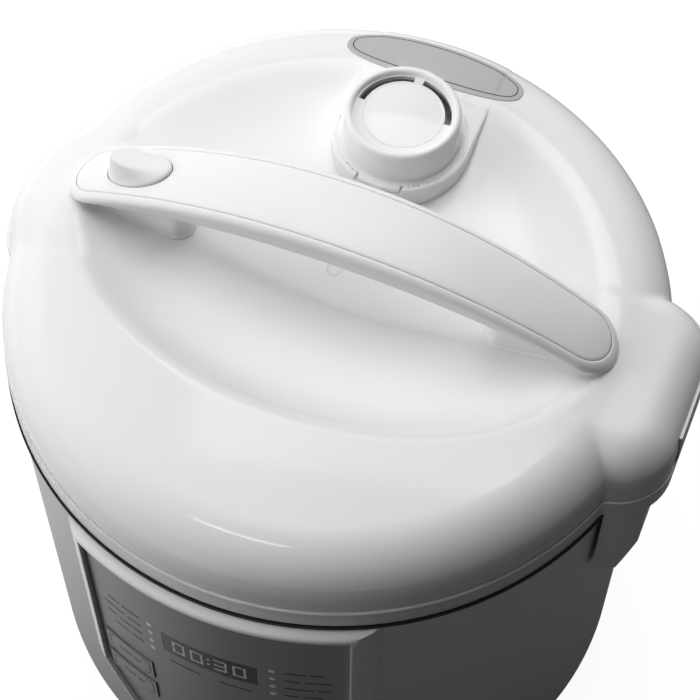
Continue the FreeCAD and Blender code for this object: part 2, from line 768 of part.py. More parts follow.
def make_top_ring(lobe):
    inner = CHAMBER_R + SHEET + FIT_GAP
    spigot_r = SHELL_IN - FIT_GAP
    spigot_in = spigot_r - SPIGOT_T
    low = FLANGE_Z - RING_FLANGE_T
    band = turned([(inner, low), (spigot_in, low), (spigot_in, low - SPIGOT_H), (spigot_r, low - SPIGOT_H),
                   (spigot_r, SHELL_TOP), (RING_R - SEAM_DEPTH, SHELL_TOP), (RING_R - SEAM_DEPTH, SEAM_Z),
                   (RING_R, SEAM_Z), (RING_R, RING_Z), (BAND_R, RING_Z), (BAND_R, FLANGE_Z),
                   (inner, FLANGE_Z)])
    left = half_turn(ear_lobe(LEFT_EAR_X, LEFT_EAR_HALF_W, LEFT_EAR_CORNER))
    level = ring(RING_R - BAND_T / 2.0, FAR, SEAM_Z, RING_Z)
    return joined([band, lobe.common(level), left.common(level), stop_wall(lobe)])


def side_handle_z():
    top = SEAM_Z
    return top - HOLD_H, top


def side_screw_bore(side, y):
    low = side_handle_z()[0]
    z = low + HOLD_LIP / 2.0
    start = Vector(side * (SHELL_IN - SHEET - EAR_CORNER), y, z)
    return Part.makeCylinder(SCREW_R, EAR_X - SHELL_IN + EAR_CORNER, start, Vector(side, 0, 0))


def side_sizes(side):
    """Reach, half width and corner of the ear on a side, and slope and end wall of its handle."""
    if side > 0:
        return EAR_X, EAR_HALF_W, EAR_CORNER, HOLD_TOE, HOLD_WALL
    return LEFT_EAR_X, LEFT_EAR_HALF_W, LEFT_EAR_CORNER, LEFT_HOLD_TOE, LEFT_HOLD_WALL


def make_side_handle(side):
    low, top = side_handle_z()
    ear_x, ear_half_w, ear_corner, toe, wall = side_sizes(side)
    out_x = ear_x - HOLD_INSET
    half_w = ear_half_w - HOLD_INSET
    inner_x = SHELL_R - ear_corner
    corners = [Vector(x, -half_w, z) for x, z in
               ((inner_x, low), (out_x - toe, low), (out_x, top - HOLD_LIP), (out_x, top),
                (inner_x, top), (inner_x, low))]
    body = Part.Face(Part.makePolygon(corners)).extrude(Vector(0, 2.0 * half_w, 0))
    plan = block(0, out_x, -half_w, half_w, low, top)
    plan = plan.makeFillet(ear_corner - HOLD_INSET, upright_edges(plan, out_x))
    body = body.common(plan)
    hold_half = half_w - wall
    body = body.cut(block(0, FAR, -hold_half, hold_half, low + HOLD_LIP, top))
    body = body.cut(disc(SHELL_R + HOLD_GAP, low, top))
    pad = block(inner_x, SHELL_R + 2.0 * HOLD_GAP, -HOLD_PAD_W, HOLD_PAD_W, low, low + HOLD_LIP)
    body = body.fuse(pad.common(plan).cut(disc(SHELL_R, low, top)))
    if side < 0:
        body = half_turn(body)
    return without(body, [side_screw_bore(side, y).common(disc(SHELL_R + 3.0 * HOLD_GAP, low, top))
                          for y in (-HOLD_SCREW_Y, HOLD_SCREW_Y)])


def make_side_handle_screws():
    low, top = side_handle_z()
    z = low + HOLD_LIP / 2.0
    screws = []
    for side in (-1, 1):
        for y in (-HOLD_SCREW_Y, HOLD_SCREW_Y):
            wall_x = math.sqrt(SHELL_IN ** 2 - (abs(y) + SCREW_HEAD_R) ** 2)
            outward = Vector(side, 0, 0)
            seat = Vector(side * (wall_x - SCREW_HEAD_T), y, z)
            head = Part.makeCylinder(SCREW_HEAD_R, SCREW_HEAD_T, seat, outward)
            shank = side_screw_bore(side, y).common(disc(SHELL_R + 3.0 * HOLD_GAP, low, top))
            shank = shank.cut(disc(wall_x, low, top))
            reach = Part.makeCylinder(SCREW_R, SHELL_R - wall_x, Vector(side * wall_x, y, z), outward)
            screws.append(head.fuse(shank).fuse(reach.common(disc(SHELL_R, low, top))))
    return Part.makeCompound(screws)


# Body: control panel

def panel_outline(inset, top):
    """Panel's front outline, drawn in by an inset, as a prism along Y."""
    low = PANEL_TOP - PANEL_H + inset
    knee = PANEL_TOP - PANEL_H + PANEL_TAPER_H
    half = PANEL_HALF_W - inset
    lean = math.atan2(PANEL_HALF_W - PANEL_FOOT_HALF_W, PANEL_TAPER_H)
    knee_z = knee + inset * math.tan(lean / 2.0)
    foot = PANEL_FOOT_HALF_W + inset * math.tan(lean) - inset / math.cos(lean)
    corners = ((-half, top), (half, top), (half, knee_z), (foot, low), (-foot, low), (-half, knee_z),
               (-half, top))
    wire = Part.makePolygon([Vector(x, -FAR, z) for x, z in corners])
    return Part.Face(wire).extrude(Vector(0, FAR, 0))


def panel_skin(inner, outer):
    """Cylindrical layer that the panel's pieces are cut from."""
    return ring(inner, outer, 0, RING_Z)


def key_places():
    """Name, X and Z of each key's middle."""
    places = []
    for row, drop in enumerate(KEY_ROWS):
        places.append(("key_left_%d" % (row + 1), -KEY_X, RING_Z + drop))
        places.append(("key_right_%d" % (row + 1), KEY_X, RING_Z + drop))
    places.append(("key_cancel", -START_X, RING_Z + START_ROW))
    places.append(("key_start", START_X, RING_Z + START_ROW))
    return places


def front_window(x, z, half_w, half_h, grow):
    return block(x - half_w - grow, x + half_w + grow, -FAR, 0, z - half_h - grow, z + half_h + grow)


def key_windows():
    return [front_window(x, z, KEY_W / 2.0, KEY_H / 2.0, KEY_GAP) for name, x, z in key_places()]


def display_prism(grow):
    return front_window(0.0, RING_Z + DISPLAY_ROW, DISPLAY_HALF_W, DISPLAY_H / 2.0, grow)


def light_places():
    return [(x, RING_Z + row) for x in (-LIGHT_X, LIGHT_X) for row in LIGHT_ROWS]


def post_places():
    return [(side * x, RING_Z + row) for side in (-1, 1) for x, row in POST_PLACES]


def light_bores(grow):
    return [rod_y(LIGHT_R + grow, x, z, -FACE_R, BOARD_FRONT) for x, z in light_places()]


def front_y(radius, x):
    """Y of the panel's front at a radius."""
    return -math.sqrt(radius ** 2 - x ** 2)


def make_panel_bezel():
    whole = panel_outline(0.0, PANEL_TOP)
    tray = whole.common(panel_skin(SHELL_R, SHELL_R + TRAY_T))
    rim = whole.cut(panel_outline(PANEL_RIM_W, BAR_Z)).common(panel_skin(SHELL_R, SHELL_R + PANEL_RIM_T))
    bar = ring(SHELL_R, SHELL_R + PROUD, BAR_Z, PANEL_TOP)
    outer = [edge for edge in bar.Edges if edge.Length > 2.0 * math.pi * SHELL_R + 1.0]
    bar = bar.makeFillet(BAR_ROUND, outer).common(whole)
    bezel = joined([tray, rim, bar])
    bezel = without(bezel, key_windows() + [display_prism(FIT_GAP)] + light_bores(FIT_GAP))
    behind_tray = disc(SHELL_R + TRAY_T / 2.0, 0, RING_Z)
    for x, z in post_places():
        bezel = bezel.fuse(rod_y(POST_R, x, z, -FACE_R, BOARD_FRONT).common(behind_tray))
    return without(bezel, [rod_y(SCREW_R, x, z, BOARD_FRONT - SWITCH_H, BOARD_FRONT)
                           for x, z in post_places()])


def make_panel_face():
    face = panel_outline(PANEL_RIM_W + FIT_GAP, BAR_Z - FIT_GAP).common(panel_skin(SHELL_R + TRAY_T, FACE_R))
    return without(face, key_windows() + [display_prism(FIT_GAP)] + light_bores(FIT_GAP))


def make_display_window():
    return display_prism(0.0).common(panel_skin(SHELL_R, FACE_R))


def make_display_module():
    z = RING_Z + DISPLAY_ROW
    half_h = DISPLAY_H / 2.0
    front = front_y(SHELL_R - DISPLAY_DEPTH, DISPLAY_HALF_W)
    return block(-DISPLAY_HALF_W, DISPLAY_HALF_W, front, BOARD_FRONT, z - half_h, z + half_h)


def make_indicator_lights():
    return Part.makeCompound([light.common(disc(FACE_R, 0, RING_Z)) for light in light_bores(0.0)])


def make_key(x, z):
    prism = front_window(x, z, KEY_W / 2.0, KEY_H / 2.0, 0.0)
    cap = prism.common(panel_skin(SHELL_R, FACE_R + KEY_PROUD))
    half = KEY_STEM / 2.0
    tip = BOARD_FRONT - SWITCH_H - KEY_TRAVEL - MOVE_GAP
    stem = block(x - half, x + half, front_y(SHELL_R + TRAY_T / 2.0, x), tip, z - half, z + half)
    return cap.fuse(stem)


def make_tact_switches():
    half = SWITCH_W / 2.0
    front = BOARD_FRONT - SWITCH_H
    return Part.makeCompound([block(x - half, x + half, front, BOARD_FRONT, z - half, z + half)
                              for name, x, z in key_places()])


def make_control_board():
    board = block(-BOARD_HALF_W, BOARD_HALF_W, BOARD_FRONT, BOARD_FRONT + BOARD_T,
                  RING_Z + BOARD_ROWS[1], RING_Z + BOARD_ROWS[0])
    return without(board, [rod_y(SCREW_R + FIT_GAP, x, z, BOARD_FRONT, BOARD_FRONT + BOARD_T)
                           for x, z in post_places()])


def make_board_screws():
    screws = []
    back = BOARD_FRONT + BOARD_T
    for x, z in post_places():
        head = rod_y(SCREW_HEAD_R, x, z, back, back + SCREW_HEAD_T)
        screws.append(head.fuse(rod_y(SCREW_R, x, z, BOARD_FRONT - SWITCH_H, back)))
    return Part.makeCompound(screws)


# Lid: steel parts

def make_inner_lid():
    skirt_in = SKIRT_R - SKIRT_T
    lid = turned([(0, PLATE_Z), (skirt_in, PLATE_Z), (skirt_in, LUG_Z), (SKIRT_R, LUG_Z), (SKIRT_R, PLATE_Z),
                  (PLATE_R, PLATE_Z), (PLATE_R, PLATE_TOP), (0, PLATE_TOP)])
    lug_in = SKIRT_R - SKIRT_T / 2.0
    for angle in lug_angles():
        lid = lid.fuse(sector(lug_in, CHAMBER_R - LID_LUG_GAP, LUG_Z, LUG_TOP, angle, LID_LUG_ANGLE))
    return without(lid, [disc(VENT_R, PLATE_Z, PLATE_TOP, 0, VALVE_Y),
                         disc(BUSH_NECK_R, PLATE_Z, PLATE_TOP, FLOAT_X, FLOAT_Y)])


def make_sealing_ring():
    outer = SKIRT_R - SKIRT_T - FIT_GAP
    inner = outer - SEAL_W
    groove = inner + HOLDER_BITE
    low = HOLDER_Z
    high = HOLDER_Z + HOLDER_T
    return turned([(inner, PLATE_Z), (outer, PLATE_Z), (outer, SEAL_Z), (inner, SEAL_Z), (inner, low),
                   (groove, low), (groove, high), (inner, high)])


def make_seal_holder():
    rim = SKIRT_R - SKIRT_T - FIT_GAP - SEAL_W + HOLDER_BITE - FIT_GAP
    holder = disc(rim, HOLDER_Z, HOLDER_Z + HOLDER_T).fuse(disc(HOLDER_POST_R, HOLDER_Z, PLATE_Z))
    return without(holder, [disc(VENT_FOOT_R + MOVE_GAP, HOLDER_Z, PLATE_Z, 0, VALVE_Y),
                            disc(FLOAT_HEAD_R + 2 * MOVE_GAP, HOLDER_Z, PLATE_Z, FLOAT_X, FLOAT_Y)])


def make_holder_nut():
    low = HOLDER_Z - KNOB_H
    knob = disc(KNOB_R, low, HOLDER_Z)
    return without(knob, [disc(KNOB_GRIP_R, low, low + KNOB_H / 2.0, *on_circle(KNOB_R, angle))
                          for angle in lug_angles()])


def make_lid_pillars():
    pillars = []
    for side in (-1, 1):
        x = side * handle_screw_x()
        pillar = disc(PILLAR_R, PLATE_TOP, RING_Z + DISH_Z, x, 0).cut(bowl(LID_WALL))
        pillars.append(pillar.cut(disc(HANDLE_SCREW_R, PLATE_TOP, RING_Z + DISH_Z, x, 0)))
    return Part.makeCompound(pillars)


def make_vent_tube():
    tube = disc(VENT_R, PLATE_Z, PLATE_TOP + VENT_TOP, 0, VALVE_Y)
    foot = disc(VENT_FOOT_R, PLATE_Z - VENT_FOOT_T, PLATE_Z, 0, VALVE_Y)
    bore = disc(VENT_BORE_R, PLATE_Z - VENT_FOOT_T, PLATE_TOP + VENT_TOP, 0, VALVE_Y)
    return tube.fuse(foot).cut(bore)


def make_vent_nut():
    corners = [Vector(*on_circle(VENT_NUT_R, 360.0 * side / NUT_SIDES), PLATE_TOP)
               for side in range(NUT_SIDES + 1)]
    nut = Part.Face(Part.makePolygon(corners)).extrude(Vector(0, 0, VENT_NUT_H))
    nut.translate(Vector(0, VALVE_Y, 0))
    return nut.cut(disc(VENT_R, PLATE_TOP, PLATE_TOP + VENT_NUT_H, 0, VALVE_Y))


def make_vent_shield():
    low = HOLDER_Z - SHIELD_H
    shield = disc(SHIELD_R, low, HOLDER_Z, 0, VALVE_Y)
    shield = shield.cut(disc(SHIELD_R - SHIELD_T, low + SHIELD_T, HOLDER_Z, 0, VALVE_Y))
    for index in range(SHIELD_SLOTS):
        slot = box_on(0.0, 0.0, 4.0 * SHIELD_R, 2.0 * SHIELD_T, low + 2 * SHIELD_T, HOLDER_Z - 2 * SHIELD_T)
        slot.rotate(Vector(0, 0, 0), Vector(0, 0, 1), 180.0 * index / SHIELD_SLOTS)
        slot.translate(Vector(0, VALVE_Y, 0))
        shield = shield.cut(slot)
    return shield


def make_valve_weight():
    weight = disc(WEIGHT_R, WEIGHT_Z, WEIGHT_Z + WEIGHT_H, 0, VALVE_Y)
    return weight.cut(disc(WEIGHT_BORE_R, WEIGHT_Z, PLATE_TOP + VENT_TOP + MOVE_GAP, 0, VALVE_Y))


def make_float_bush():
    head = disc(BUSH_R, PLATE_TOP, PLATE_TOP + BUSH_HEAD, FLOAT_X, FLOAT_Y)
    neck = disc(BUSH_NECK_R, PLATE_Z, PLATE_TOP, FLOAT_X, FLOAT_Y)
    foot = disc(BUSH_R, PLATE_Z - BUSH_FOOT, PLATE_Z, FLOAT_X, FLOAT_Y)
    bore = disc(FLOAT_R + PIN_GAP, PLATE_Z - BUSH_FOOT, PLATE_TOP + BUSH_HEAD, FLOAT_X, FLOAT_Y)
    return joined([head, neck, foot]).cut(bore)


def make_float_valve():
    collar_z = PLATE_TOP + BUSH_HEAD + MOVE_GAP
    head_top = PLATE_Z - BUSH_FOOT - FLOAT_TRAVEL - MOVE_GAP
    pin = disc(FLOAT_R, head_top - FLOAT_HEAD_T, PLATE_TOP + FLOAT_TOP, FLOAT_X, FLOAT_Y)
    head = disc(FLOAT_HEAD_R, head_top - FLOAT_HEAD_T, head_top, FLOAT_X, FLOAT_Y)
    collar = disc(BUSH_NECK_R, collar_z, collar_z + BUSH_FOOT, FLOAT_X, FLOAT_Y)
    return joined([pin, head, collar])


# Lid: cover and valve cap

def bowl(grow):
    """Dish's hollow: two half ellipsoids that share the widest side."""
    halves = []
    for turn, depth_y in ((0.0, DISH_BACK), (180.0, DISH_FRONT)):
        half = Part.makeSphere(1.0, Vector(0, 0, 0), Vector(0, 0, 1), -90, 90, 180)
        half.rotate(Vector(0, 0, 0), Vector(0, 0, 1), turn)
        stretch = FreeCAD.Matrix()
        stretch.scale(DISH_SIDE + grow, depth_y + grow, DISH_DEPTH + grow)
        halves.append(half.transformGeometry(stretch))
    whole = halves[0].fuse(halves[1])
    whole.translate(Vector(0, 0, RING_Z + DISH_Z))
    return whole


def platform(inset, low, high, back):
    radius = PLATFORM_R - inset
    return disc(radius, low, high, 0, VALVE_Y).fuse(block(-radius, radius, VALVE_Y, back, low, high))


def lid_outside(lobe):
    """Filled form under the lid's outer skin, with the dish and the platform."""
    above = block(-FAR, FAR, -FAR, FAR, LID_Z, FAR)
    notch = block(0, FAR, STOP_Y - 2.0 * MOVE_GAP, FAR, LID_Z, RING_Z + STOP_H + RING_GAP)
    notch = notch.cut(disc(RING_R, LID_Z, RING_Z + STOP_H + RING_GAP))
    left = half_turn(ear_lobe(LEFT_LOBE_X, LEFT_LOBE_HALF_W, LEFT_LOBE_CORNER))
    form = joined([lid_dome(0.0, LID_Z), lobe.common(above).cut(notch), left.common(above)])
    hollow = bowl(0.0).cut(platform(0.0, RING_Z, PLATFORM_TOP, FAR))
    return form.cut(hollow)


def make_lid_cover(outside):
    inside = lid_dome(LID_WALL, LID_Z)
    under_dish = bowl(LID_WALL).common(lid_dome(LID_WALL / 2.0, LID_Z))
    cover = outside.cut(inside.cut(under_dish))
    spigot_r = PLATE_R - FIT_GAP
    spigot_in = spigot_r - LID_WALL
    edge = ring(spigot_in, RING_R - LID_WALL / 2.0, LID_Z, LID_Z + LID_WALL)
    cover = joined([cover, edge, ring(spigot_in, spigot_r, PLATE_TOP, LID_Z)])
    well_low = RING_Z + DISH_Z - DISH_DEPTH - 2.0 * LID_WALL
    well_high = CAP_Z - LID_WALL
    well = platform(LID_WALL, well_low, well_high, VALVE_Y + PLATFORM_R - LID_WALL)
    recess = disc(CAP_FLANGE_R + MOVE_GAP, CAP_Z, CAP_TOP, 0, VALVE_Y)
    tab_half = TAB_HALF_W + MOVE_GAP
    tab_y = VALVE_Y - CAP_FLANGE_R - TAB_OUT - MOVE_GAP
    tab_notch = block(-tab_half, tab_half, tab_y - LID_WALL, VALVE_Y, CAP_Z, CAP_TOP)
    cuts = [well, recess, tab_notch, disc(VALVE_HOLE_R, well_low, CAP_TOP, 0, VALVE_Y)]
    cuts.append(disc(ROD_R + MOVE_GAP, LID_Z, RING_Z + DISH_Z, BUTTON_X, 0))
    for side in (-1, 1):
        cuts.append(disc(HANDLE_SCREW_R + FIT_GAP, LID_Z, RING_Z + DISH_Z, side * handle_screw_x(), 0))
    return without(cover, cuts)


def make_badge_plate():
    raised = lid_dome(0.0, LID_Z)
    raised.translate(Vector(0, 0, BADGE_T))
    layer = oval(BADGE_HALF_L, BADGE_HALF_W, LID_Z, FAR, 0, BADGE_Y).common(raised)
    return layer.cut(lid_dome(0.0, LID_Z))


def make_steam_cap_ring():
    low = CAP_Z + MOVE_GAP
    flange_top = low + CAP_FLANGE_T
    inner = CAP_R - CAP_WALL
    edge = CAP_SINK / 2.0
    cap = turned([(inner, low), (CAP_FLANGE_R, low), (CAP_FLANGE_R, flange_top), (CAP_FOOT_R, flange_top),
                  (CAP_R, CAP_TOP - edge), (CAP_R - edge, CAP_TOP), (inner, CAP_TOP)])
    cap.translate(Vector(0, VALVE_Y, 0))
    tab = block(-TAB_HALF_W, TAB_HALF_W, VALVE_Y - CAP_FLANGE_R - TAB_OUT, VALVE_Y, low, flange_top)
    tab = tab.cut(disc(CAP_R - CAP_WALL / 2.0, low, flange_top, 0, VALVE_Y))
    return cap.fuse(tab)


def make_steam_cap_disc():
    radius = CAP_R - CAP_WALL
    high = CAP_TOP - CAP_SINK
    low = high - CAP_DISC_T
    lid = disc(radius, low, high)
    for start in (CAP_SLOT_BRIDGE, 180.0 - CAP_SLOT_BRIDGE - CAP_SLOT_ARC):
        middle = start + CAP_SLOT_ARC / 2.0
        slot = sector(radius - CAP_SLOT_W, 2.0 * radius, low, high, middle, CAP_SLOT_ARC)
        lid = lid.cut(slot)
    lid.translate(Vector(0, VALVE_Y, 0))
    return lid


# Lid: bow handle and steam release

def bow(end_z, middle_z, low):
    """Form under an arch along X, from a level up to the arch."""
    points = [Vector(-HANDLE_X, -FAR, RING_Z + end_z), Vector(0, -FAR, RING_Z + middle_z),
              Vector(HANDLE_X, -FAR, RING_Z + end_z)]
    corners = [points[2], Vector(HANDLE_X, -FAR, low), Vector(-HANDLE_X, -FAR, low), points[0]]
    edges = [Part.Arc(*points).toShape()]
    edges += [Part.makeLine(a, b) for a, b in zip(corners[:-1], corners[1:])]
    return Part.Face(Part.Wire(edges)).extrude(Vector(0, 2.0 * FAR, 0))


def handle_top_z(x):
    """Height of the handle's upper arch."""
    rise = HANDLE_TOP_Z - HANDLE_END_Z
    radius = (HANDLE_X ** 2 + rise ** 2) / (2.0 * rise)
    return RING_Z + HANDLE_TOP_Z - radius + math.sqrt(radius ** 2 - x ** 2)


def handle_plan(inset):
    """Handle's outline from above, widest in the middle, as a tall prism."""
    end = HANDLE_END_R - inset
    middle = HANDLE_HALF_W - inset
    x = HANDLE_X - HANDLE_END_R
    edges = [arc((-x, end, 0), (0, middle, 0), (x, end, 0)),
             arc((x, end, 0), (x + end, 0, 0), (x, -end, 0)),
             arc((x, -end, 0), (0, -middle, 0), (-x, -end, 0)),
             arc((-x, -end, 0), (-x - end, 0, 0), (-x, end, 0))]
    return Part.Face(Part.Wire(edges)).extrude(Vector(0, 0, FAR))


def handle_screw_x():
    return LEG_IN_X + LEG_HALF_W


def button_well(grow, low, high):
    return oval(BUTTON_HALF_L + grow, BUTTON_HALF_W + grow, low, high, BUTTON_X, 0)


def make_handle_base(outside):
    low = RING_Z
    under = bow(HANDLE_TIP_Z, HANDLE_UNDER_Z, low)
    bar = bow(HANDLE_END_Z, HANDLE_TOP_Z, low).common(handle_plan(0.0)).cut(under)
    floor = bow(HANDLE_END_Z - COVER_T, HANDLE_TOP_Z - COVER_T, low)
    bar = bar.cut(handle_plan(COVER_INSET - FIT_GAP).cut(floor))
    leg_low = LID_Z + SKIRT_H
    legs = []
    for side in (-1, 1):
        post = disc(LEG_HALF_W, leg_low, FAR, side * handle_screw_x(), 0)
        x0, x1 = sorted((side * handle_screw_x(), side * LEG_OUT_X))
        legs.append(post.fuse(block(x0, x1, -LEG_HALF_W, LEG_HALF_W, leg_low, FAR)).common(under))
    base = joined([bar] + legs).cut(outside)
    seat = RING_Z + HANDLE_SCREW_SEAT
    cuts = []
    for side in (-1, 1):
        x = side * handle_screw_x()
        cuts.append(disc(HANDLE_SCREW_HEAD_R + FIT_GAP, seat, FAR, x, 0))
        cuts.append(disc(HANDLE_SCREW_R + FIT_GAP, low, seat, x, 0))
    well = bow(HANDLE_END_Z, HANDLE_TOP_Z, low)
    well.translate(Vector(0, 0, -BUTTON_SEAT - BUTTON_TRAVEL - MOVE_GAP))
    cuts.append(button_well(MOVE_GAP, low, FAR).cut(well))
    cuts.append(disc(SPRING_BORE_R, RING_Z + SPRING_FLOOR_Z, FAR, BUTTON_X, 0))
    cuts.append(disc(ROD_R + PIN_GAP, low, FAR, BUTTON_X, 0))
    return without(base, cuts)


def make_handle_top():
    cover = bow(HANDLE_END_Z, HANDLE_TOP_Z, RING_Z).common(handle_plan(COVER_INSET))
    cover = cover.cut(bow(HANDLE_END_Z - COVER_T, HANDLE_TOP_Z - COVER_T, RING_Z))
    return cover.cut(button_well(MOVE_GAP, RING_Z, FAR))


def make_handle_screws():
    screws = []
    seat = RING_Z + HANDLE_SCREW_SEAT
    for side in (-1, 1):
        x = side * handle_screw_x()
        head = disc(HANDLE_SCREW_HEAD_R, seat, seat + HANDLE_SCREW_HEAD_T, x, 0)
        screws.append(head.fuse(disc(HANDLE_SCREW_R, seat - HANDLE_SCREW_L, seat, x, 0)))
    return Part.makeCompound(screws)


def make_release_button():
    top = RING_Z + BUTTON_TOP_Z
    button = button_well(0.0, RING_Z, top)
    crown = [edge for edge in button.Edges if all(abs(v.Z - top) < CLOSE for v in edge.Vertexes)]
    button = button.makeFillet(BUTTON_ROUND, crown)
    below = bow(HANDLE_END_Z, HANDLE_TOP_Z, RING_Z)
    below.translate(Vector(0, 0, -BUTTON_SEAT))
    return button.cut(below)


def make_push_rod(button):
    collar = RING_Z + COLLAR_Z
    rod = disc(ROD_R, LEVER_TOP + MOVE_GAP, RING_Z + BUTTON_TOP_Z - BUTTON_ROUND, BUTTON_X, 0)
    rod = rod.fuse(disc(COLLAR_R, collar, collar + COLLAR_T, BUTTON_X, 0))
    return rod.cut(button)


def make_button_spring():
    return coil(BUTTON_COIL_R, RING_Z + SPRING_FLOOR_Z, RING_Z + COLLAR_Z, BUTTON_X)


def lever_frame():
    """Middle of the lever, its length from rod to valve and its angle in plan."""
    length = math.hypot(BUTTON_X, VALVE_Y)
    return BUTTON_X / 2.0, VALVE_Y / 2.0, length, math.degrees(math.atan2(VALVE_Y, -BUTTON_X))


def in_lever_frame(shape):
    """Move a shape drawn along X about the origin to the lever's place."""
    x, y, length, angle = lever_frame()
    shape.rotate(Vector(0, 0, 0), Vector(0, 0, 1), angle)
    shape.translate(Vector(x, y, 0))
    return shape


def lever_axis_bar(radius, half_length):
    z = LEVER_LOW + LEVER_T / 2.0
    return Part.makeCylinder(radius, 2.0 * half_length, Vector(0, -half_length, z), Vector(0, 1, 0))


def make_release_lever():
    half = lever_frame()[2] / 2.0
    bar_end = half - (LEVER_EYE_R + LEVER_EYE_BORE_R) / 2.0
    bar = block(-half, bar_end, -LEVER_HALF_W, LEVER_HALF_W, LEVER_LOW, LEVER_TOP)
    pad = disc(LEVER_PAD_R, LEVER_LOW, LEVER_TOP, -half, 0)
    eye = disc(LEVER_EYE_R, LEVER_LOW, LEVER_TOP, half, 0)
    lever = joined([bar, pad, eye, lever_axis_bar(LEVER_HUB_R, LEVER_HALF_W)])
    lever = lever.cut(disc(LEVER_EYE_BORE_R, LEVER_LOW, LEVER_TOP, half, 0))
    return in_lever_frame(lever.cut(lever_axis_bar(LEVER_PIN_R + PIN_GAP, LEVER_HALF_W)))


def make_lever_bracket():
    inner = LEVER_HALF_W + MOVE_GAP
    outer = inner + CHEEK_T
    top = LEVER_TOP + LEVER_HUB_R
    bracket = block(-CHEEK_HALF_L, CHEEK_HALF_L, -outer, outer, PLATE_TOP, PLATE_TOP + BRACKET_T)
    for low, high in ((-outer, -inner), (inner, outer)):
        bracket = bracket.fuse(block(-CHEEK_HALF_L, CHEEK_HALF_L, low, high, PLATE_TOP, top))
    return in_lever_frame(bracket.cut(lever_axis_bar(LEVER_PIN_R, 2.0 * outer)))


def make_lever_pin():
    return in_lever_frame(lever_axis_bar(LEVER_PIN_R, LEVER_HALF_W + MOVE_GAP + CHEEK_T))


def main():
    os.makedirs("parts", exist_ok=True)
    lobe = ear_lobe(EAR_X, EAR_HALF_W, EAR_CORNER)
    outside = lid_outside(lobe)
    button = make_release_button()
    parts = {
        "rubber_feet": make_feet(),
        "base_cover": make_base_cover(),
        "base_screws": make_base_screws(),
        "power_board": make_power_board(),
        "board_components": make_board_components(),
        "thermal_cutout": make_thermal_cutout(),
        "pressure_switch": make_pressure_switch(),
        "inlet_socket": make_inlet_socket(),
        "inlet_pins": Part.makeCompound(inlet_pins()),
        "heating_plate": make_heating_plate(),
        "heater_terminals": make_heater_terminals(),
        "sensor_probe": make_sensor_probe(),
        "sensor_spring": make_sensor_spring(),
        "inner_pot": make_inner_pot(),
        "outer_pot": make_outer_pot(),
        "outer_shell": make_outer_shell(),
        "top_ring": make_top_ring(lobe),
        "left_side_handle": make_side_handle(-1),
        "right_side_handle": make_side_handle(1),
        "side_handle_screws": make_side_handle_screws(),
        "panel_bezel": make_panel_bezel(),
        "panel_face": make_panel_face(),
        "display_window": make_display_window(),
        "display_module": make_display_module(),
        "indicator_lights": make_indicator_lights(),
        "tact_switches": make_tact_switches(),
        "control_board": make_control_board(),
        "board_screws": make_board_screws(),
        "lid_cover": make_lid_cover(outside),
        "badge_plate": make_badge_plate(),
        "inner_lid": make_inner_lid(),
        "sealing_ring": make_sealing_ring(),
        "seal_holder": make_seal_holder(),
        "holder_nut": make_holder_nut(),
        "lid_pillars": make_lid_pillars(),
        "vent_tube": make_vent_tube(),
        "vent_nut": make_vent_nut(),
        "vent_shield": make_vent_shield(),
        "valve_weight": make_valve_weight(),
        "steam_cap_ring": make_steam_cap_ring(),
        "steam_cap_disc": make_steam_cap_disc(),
        "float_bush": make_float_bush(),
        "float_valve": make_float_valve(),
        "handle_base": make_handle_base(outside),
        "handle_top": make_handle_top(),
        "handle_screws": make_handle_screws(),
        "release_button": button,
        "push_rod": make_push_rod(button),
        "button_spring": make_button_spring(),
        "release_lever": make_release_lever(),
        "lever_bracket": make_lever_bracket(),
        "lever_pin": make_lever_pin(),
    }
    for name, x, z in key_places():
        parts[name] = make_key(x, z)
    for name, shape in parts.items():
        save(name, shape)
    print("ring line", RING_Z, "ring radius", RING_R, "nodes", len(parts))


main()
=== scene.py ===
# %% [markdown]
# # A white pressure cooker, dressed for the studio
# The cooker arrives as an assembly of measured solids, each on the body that it moves with. This lesson
# keeps those solids where they are and gives them the soft edges, finishes and light of the real thing.
# Every length below is in the same frame as the solids.

# %% Load the measured cooker
import bmesh
import bpy
import math
import numpy as np
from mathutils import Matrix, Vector


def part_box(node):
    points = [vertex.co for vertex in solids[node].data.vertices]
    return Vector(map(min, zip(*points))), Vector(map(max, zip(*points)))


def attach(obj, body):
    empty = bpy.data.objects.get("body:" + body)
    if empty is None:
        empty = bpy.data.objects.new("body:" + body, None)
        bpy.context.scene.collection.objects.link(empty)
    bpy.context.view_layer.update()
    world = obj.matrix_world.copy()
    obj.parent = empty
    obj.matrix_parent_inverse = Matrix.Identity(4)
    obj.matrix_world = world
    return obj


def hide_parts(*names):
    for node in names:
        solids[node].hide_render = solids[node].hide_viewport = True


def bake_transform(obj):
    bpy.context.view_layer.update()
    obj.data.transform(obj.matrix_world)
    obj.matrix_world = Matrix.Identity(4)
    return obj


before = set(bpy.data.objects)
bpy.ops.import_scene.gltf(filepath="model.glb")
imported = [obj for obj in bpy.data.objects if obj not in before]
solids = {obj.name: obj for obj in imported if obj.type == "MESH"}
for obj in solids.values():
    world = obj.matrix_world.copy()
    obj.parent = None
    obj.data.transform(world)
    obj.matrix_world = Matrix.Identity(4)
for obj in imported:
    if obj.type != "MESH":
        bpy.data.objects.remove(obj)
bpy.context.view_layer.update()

# %% [markdown]
# ## Camera
# The picture is taken from above, a little to the right of the control panel, with a long lens. The camera
# stands on a line from the middle of the ring on which the lid sits, so its place follows from two angles
# and a distance. A long lens is a small angle, and the picture's frame is a little off the optical axis,
# which a small sideways shift gives.

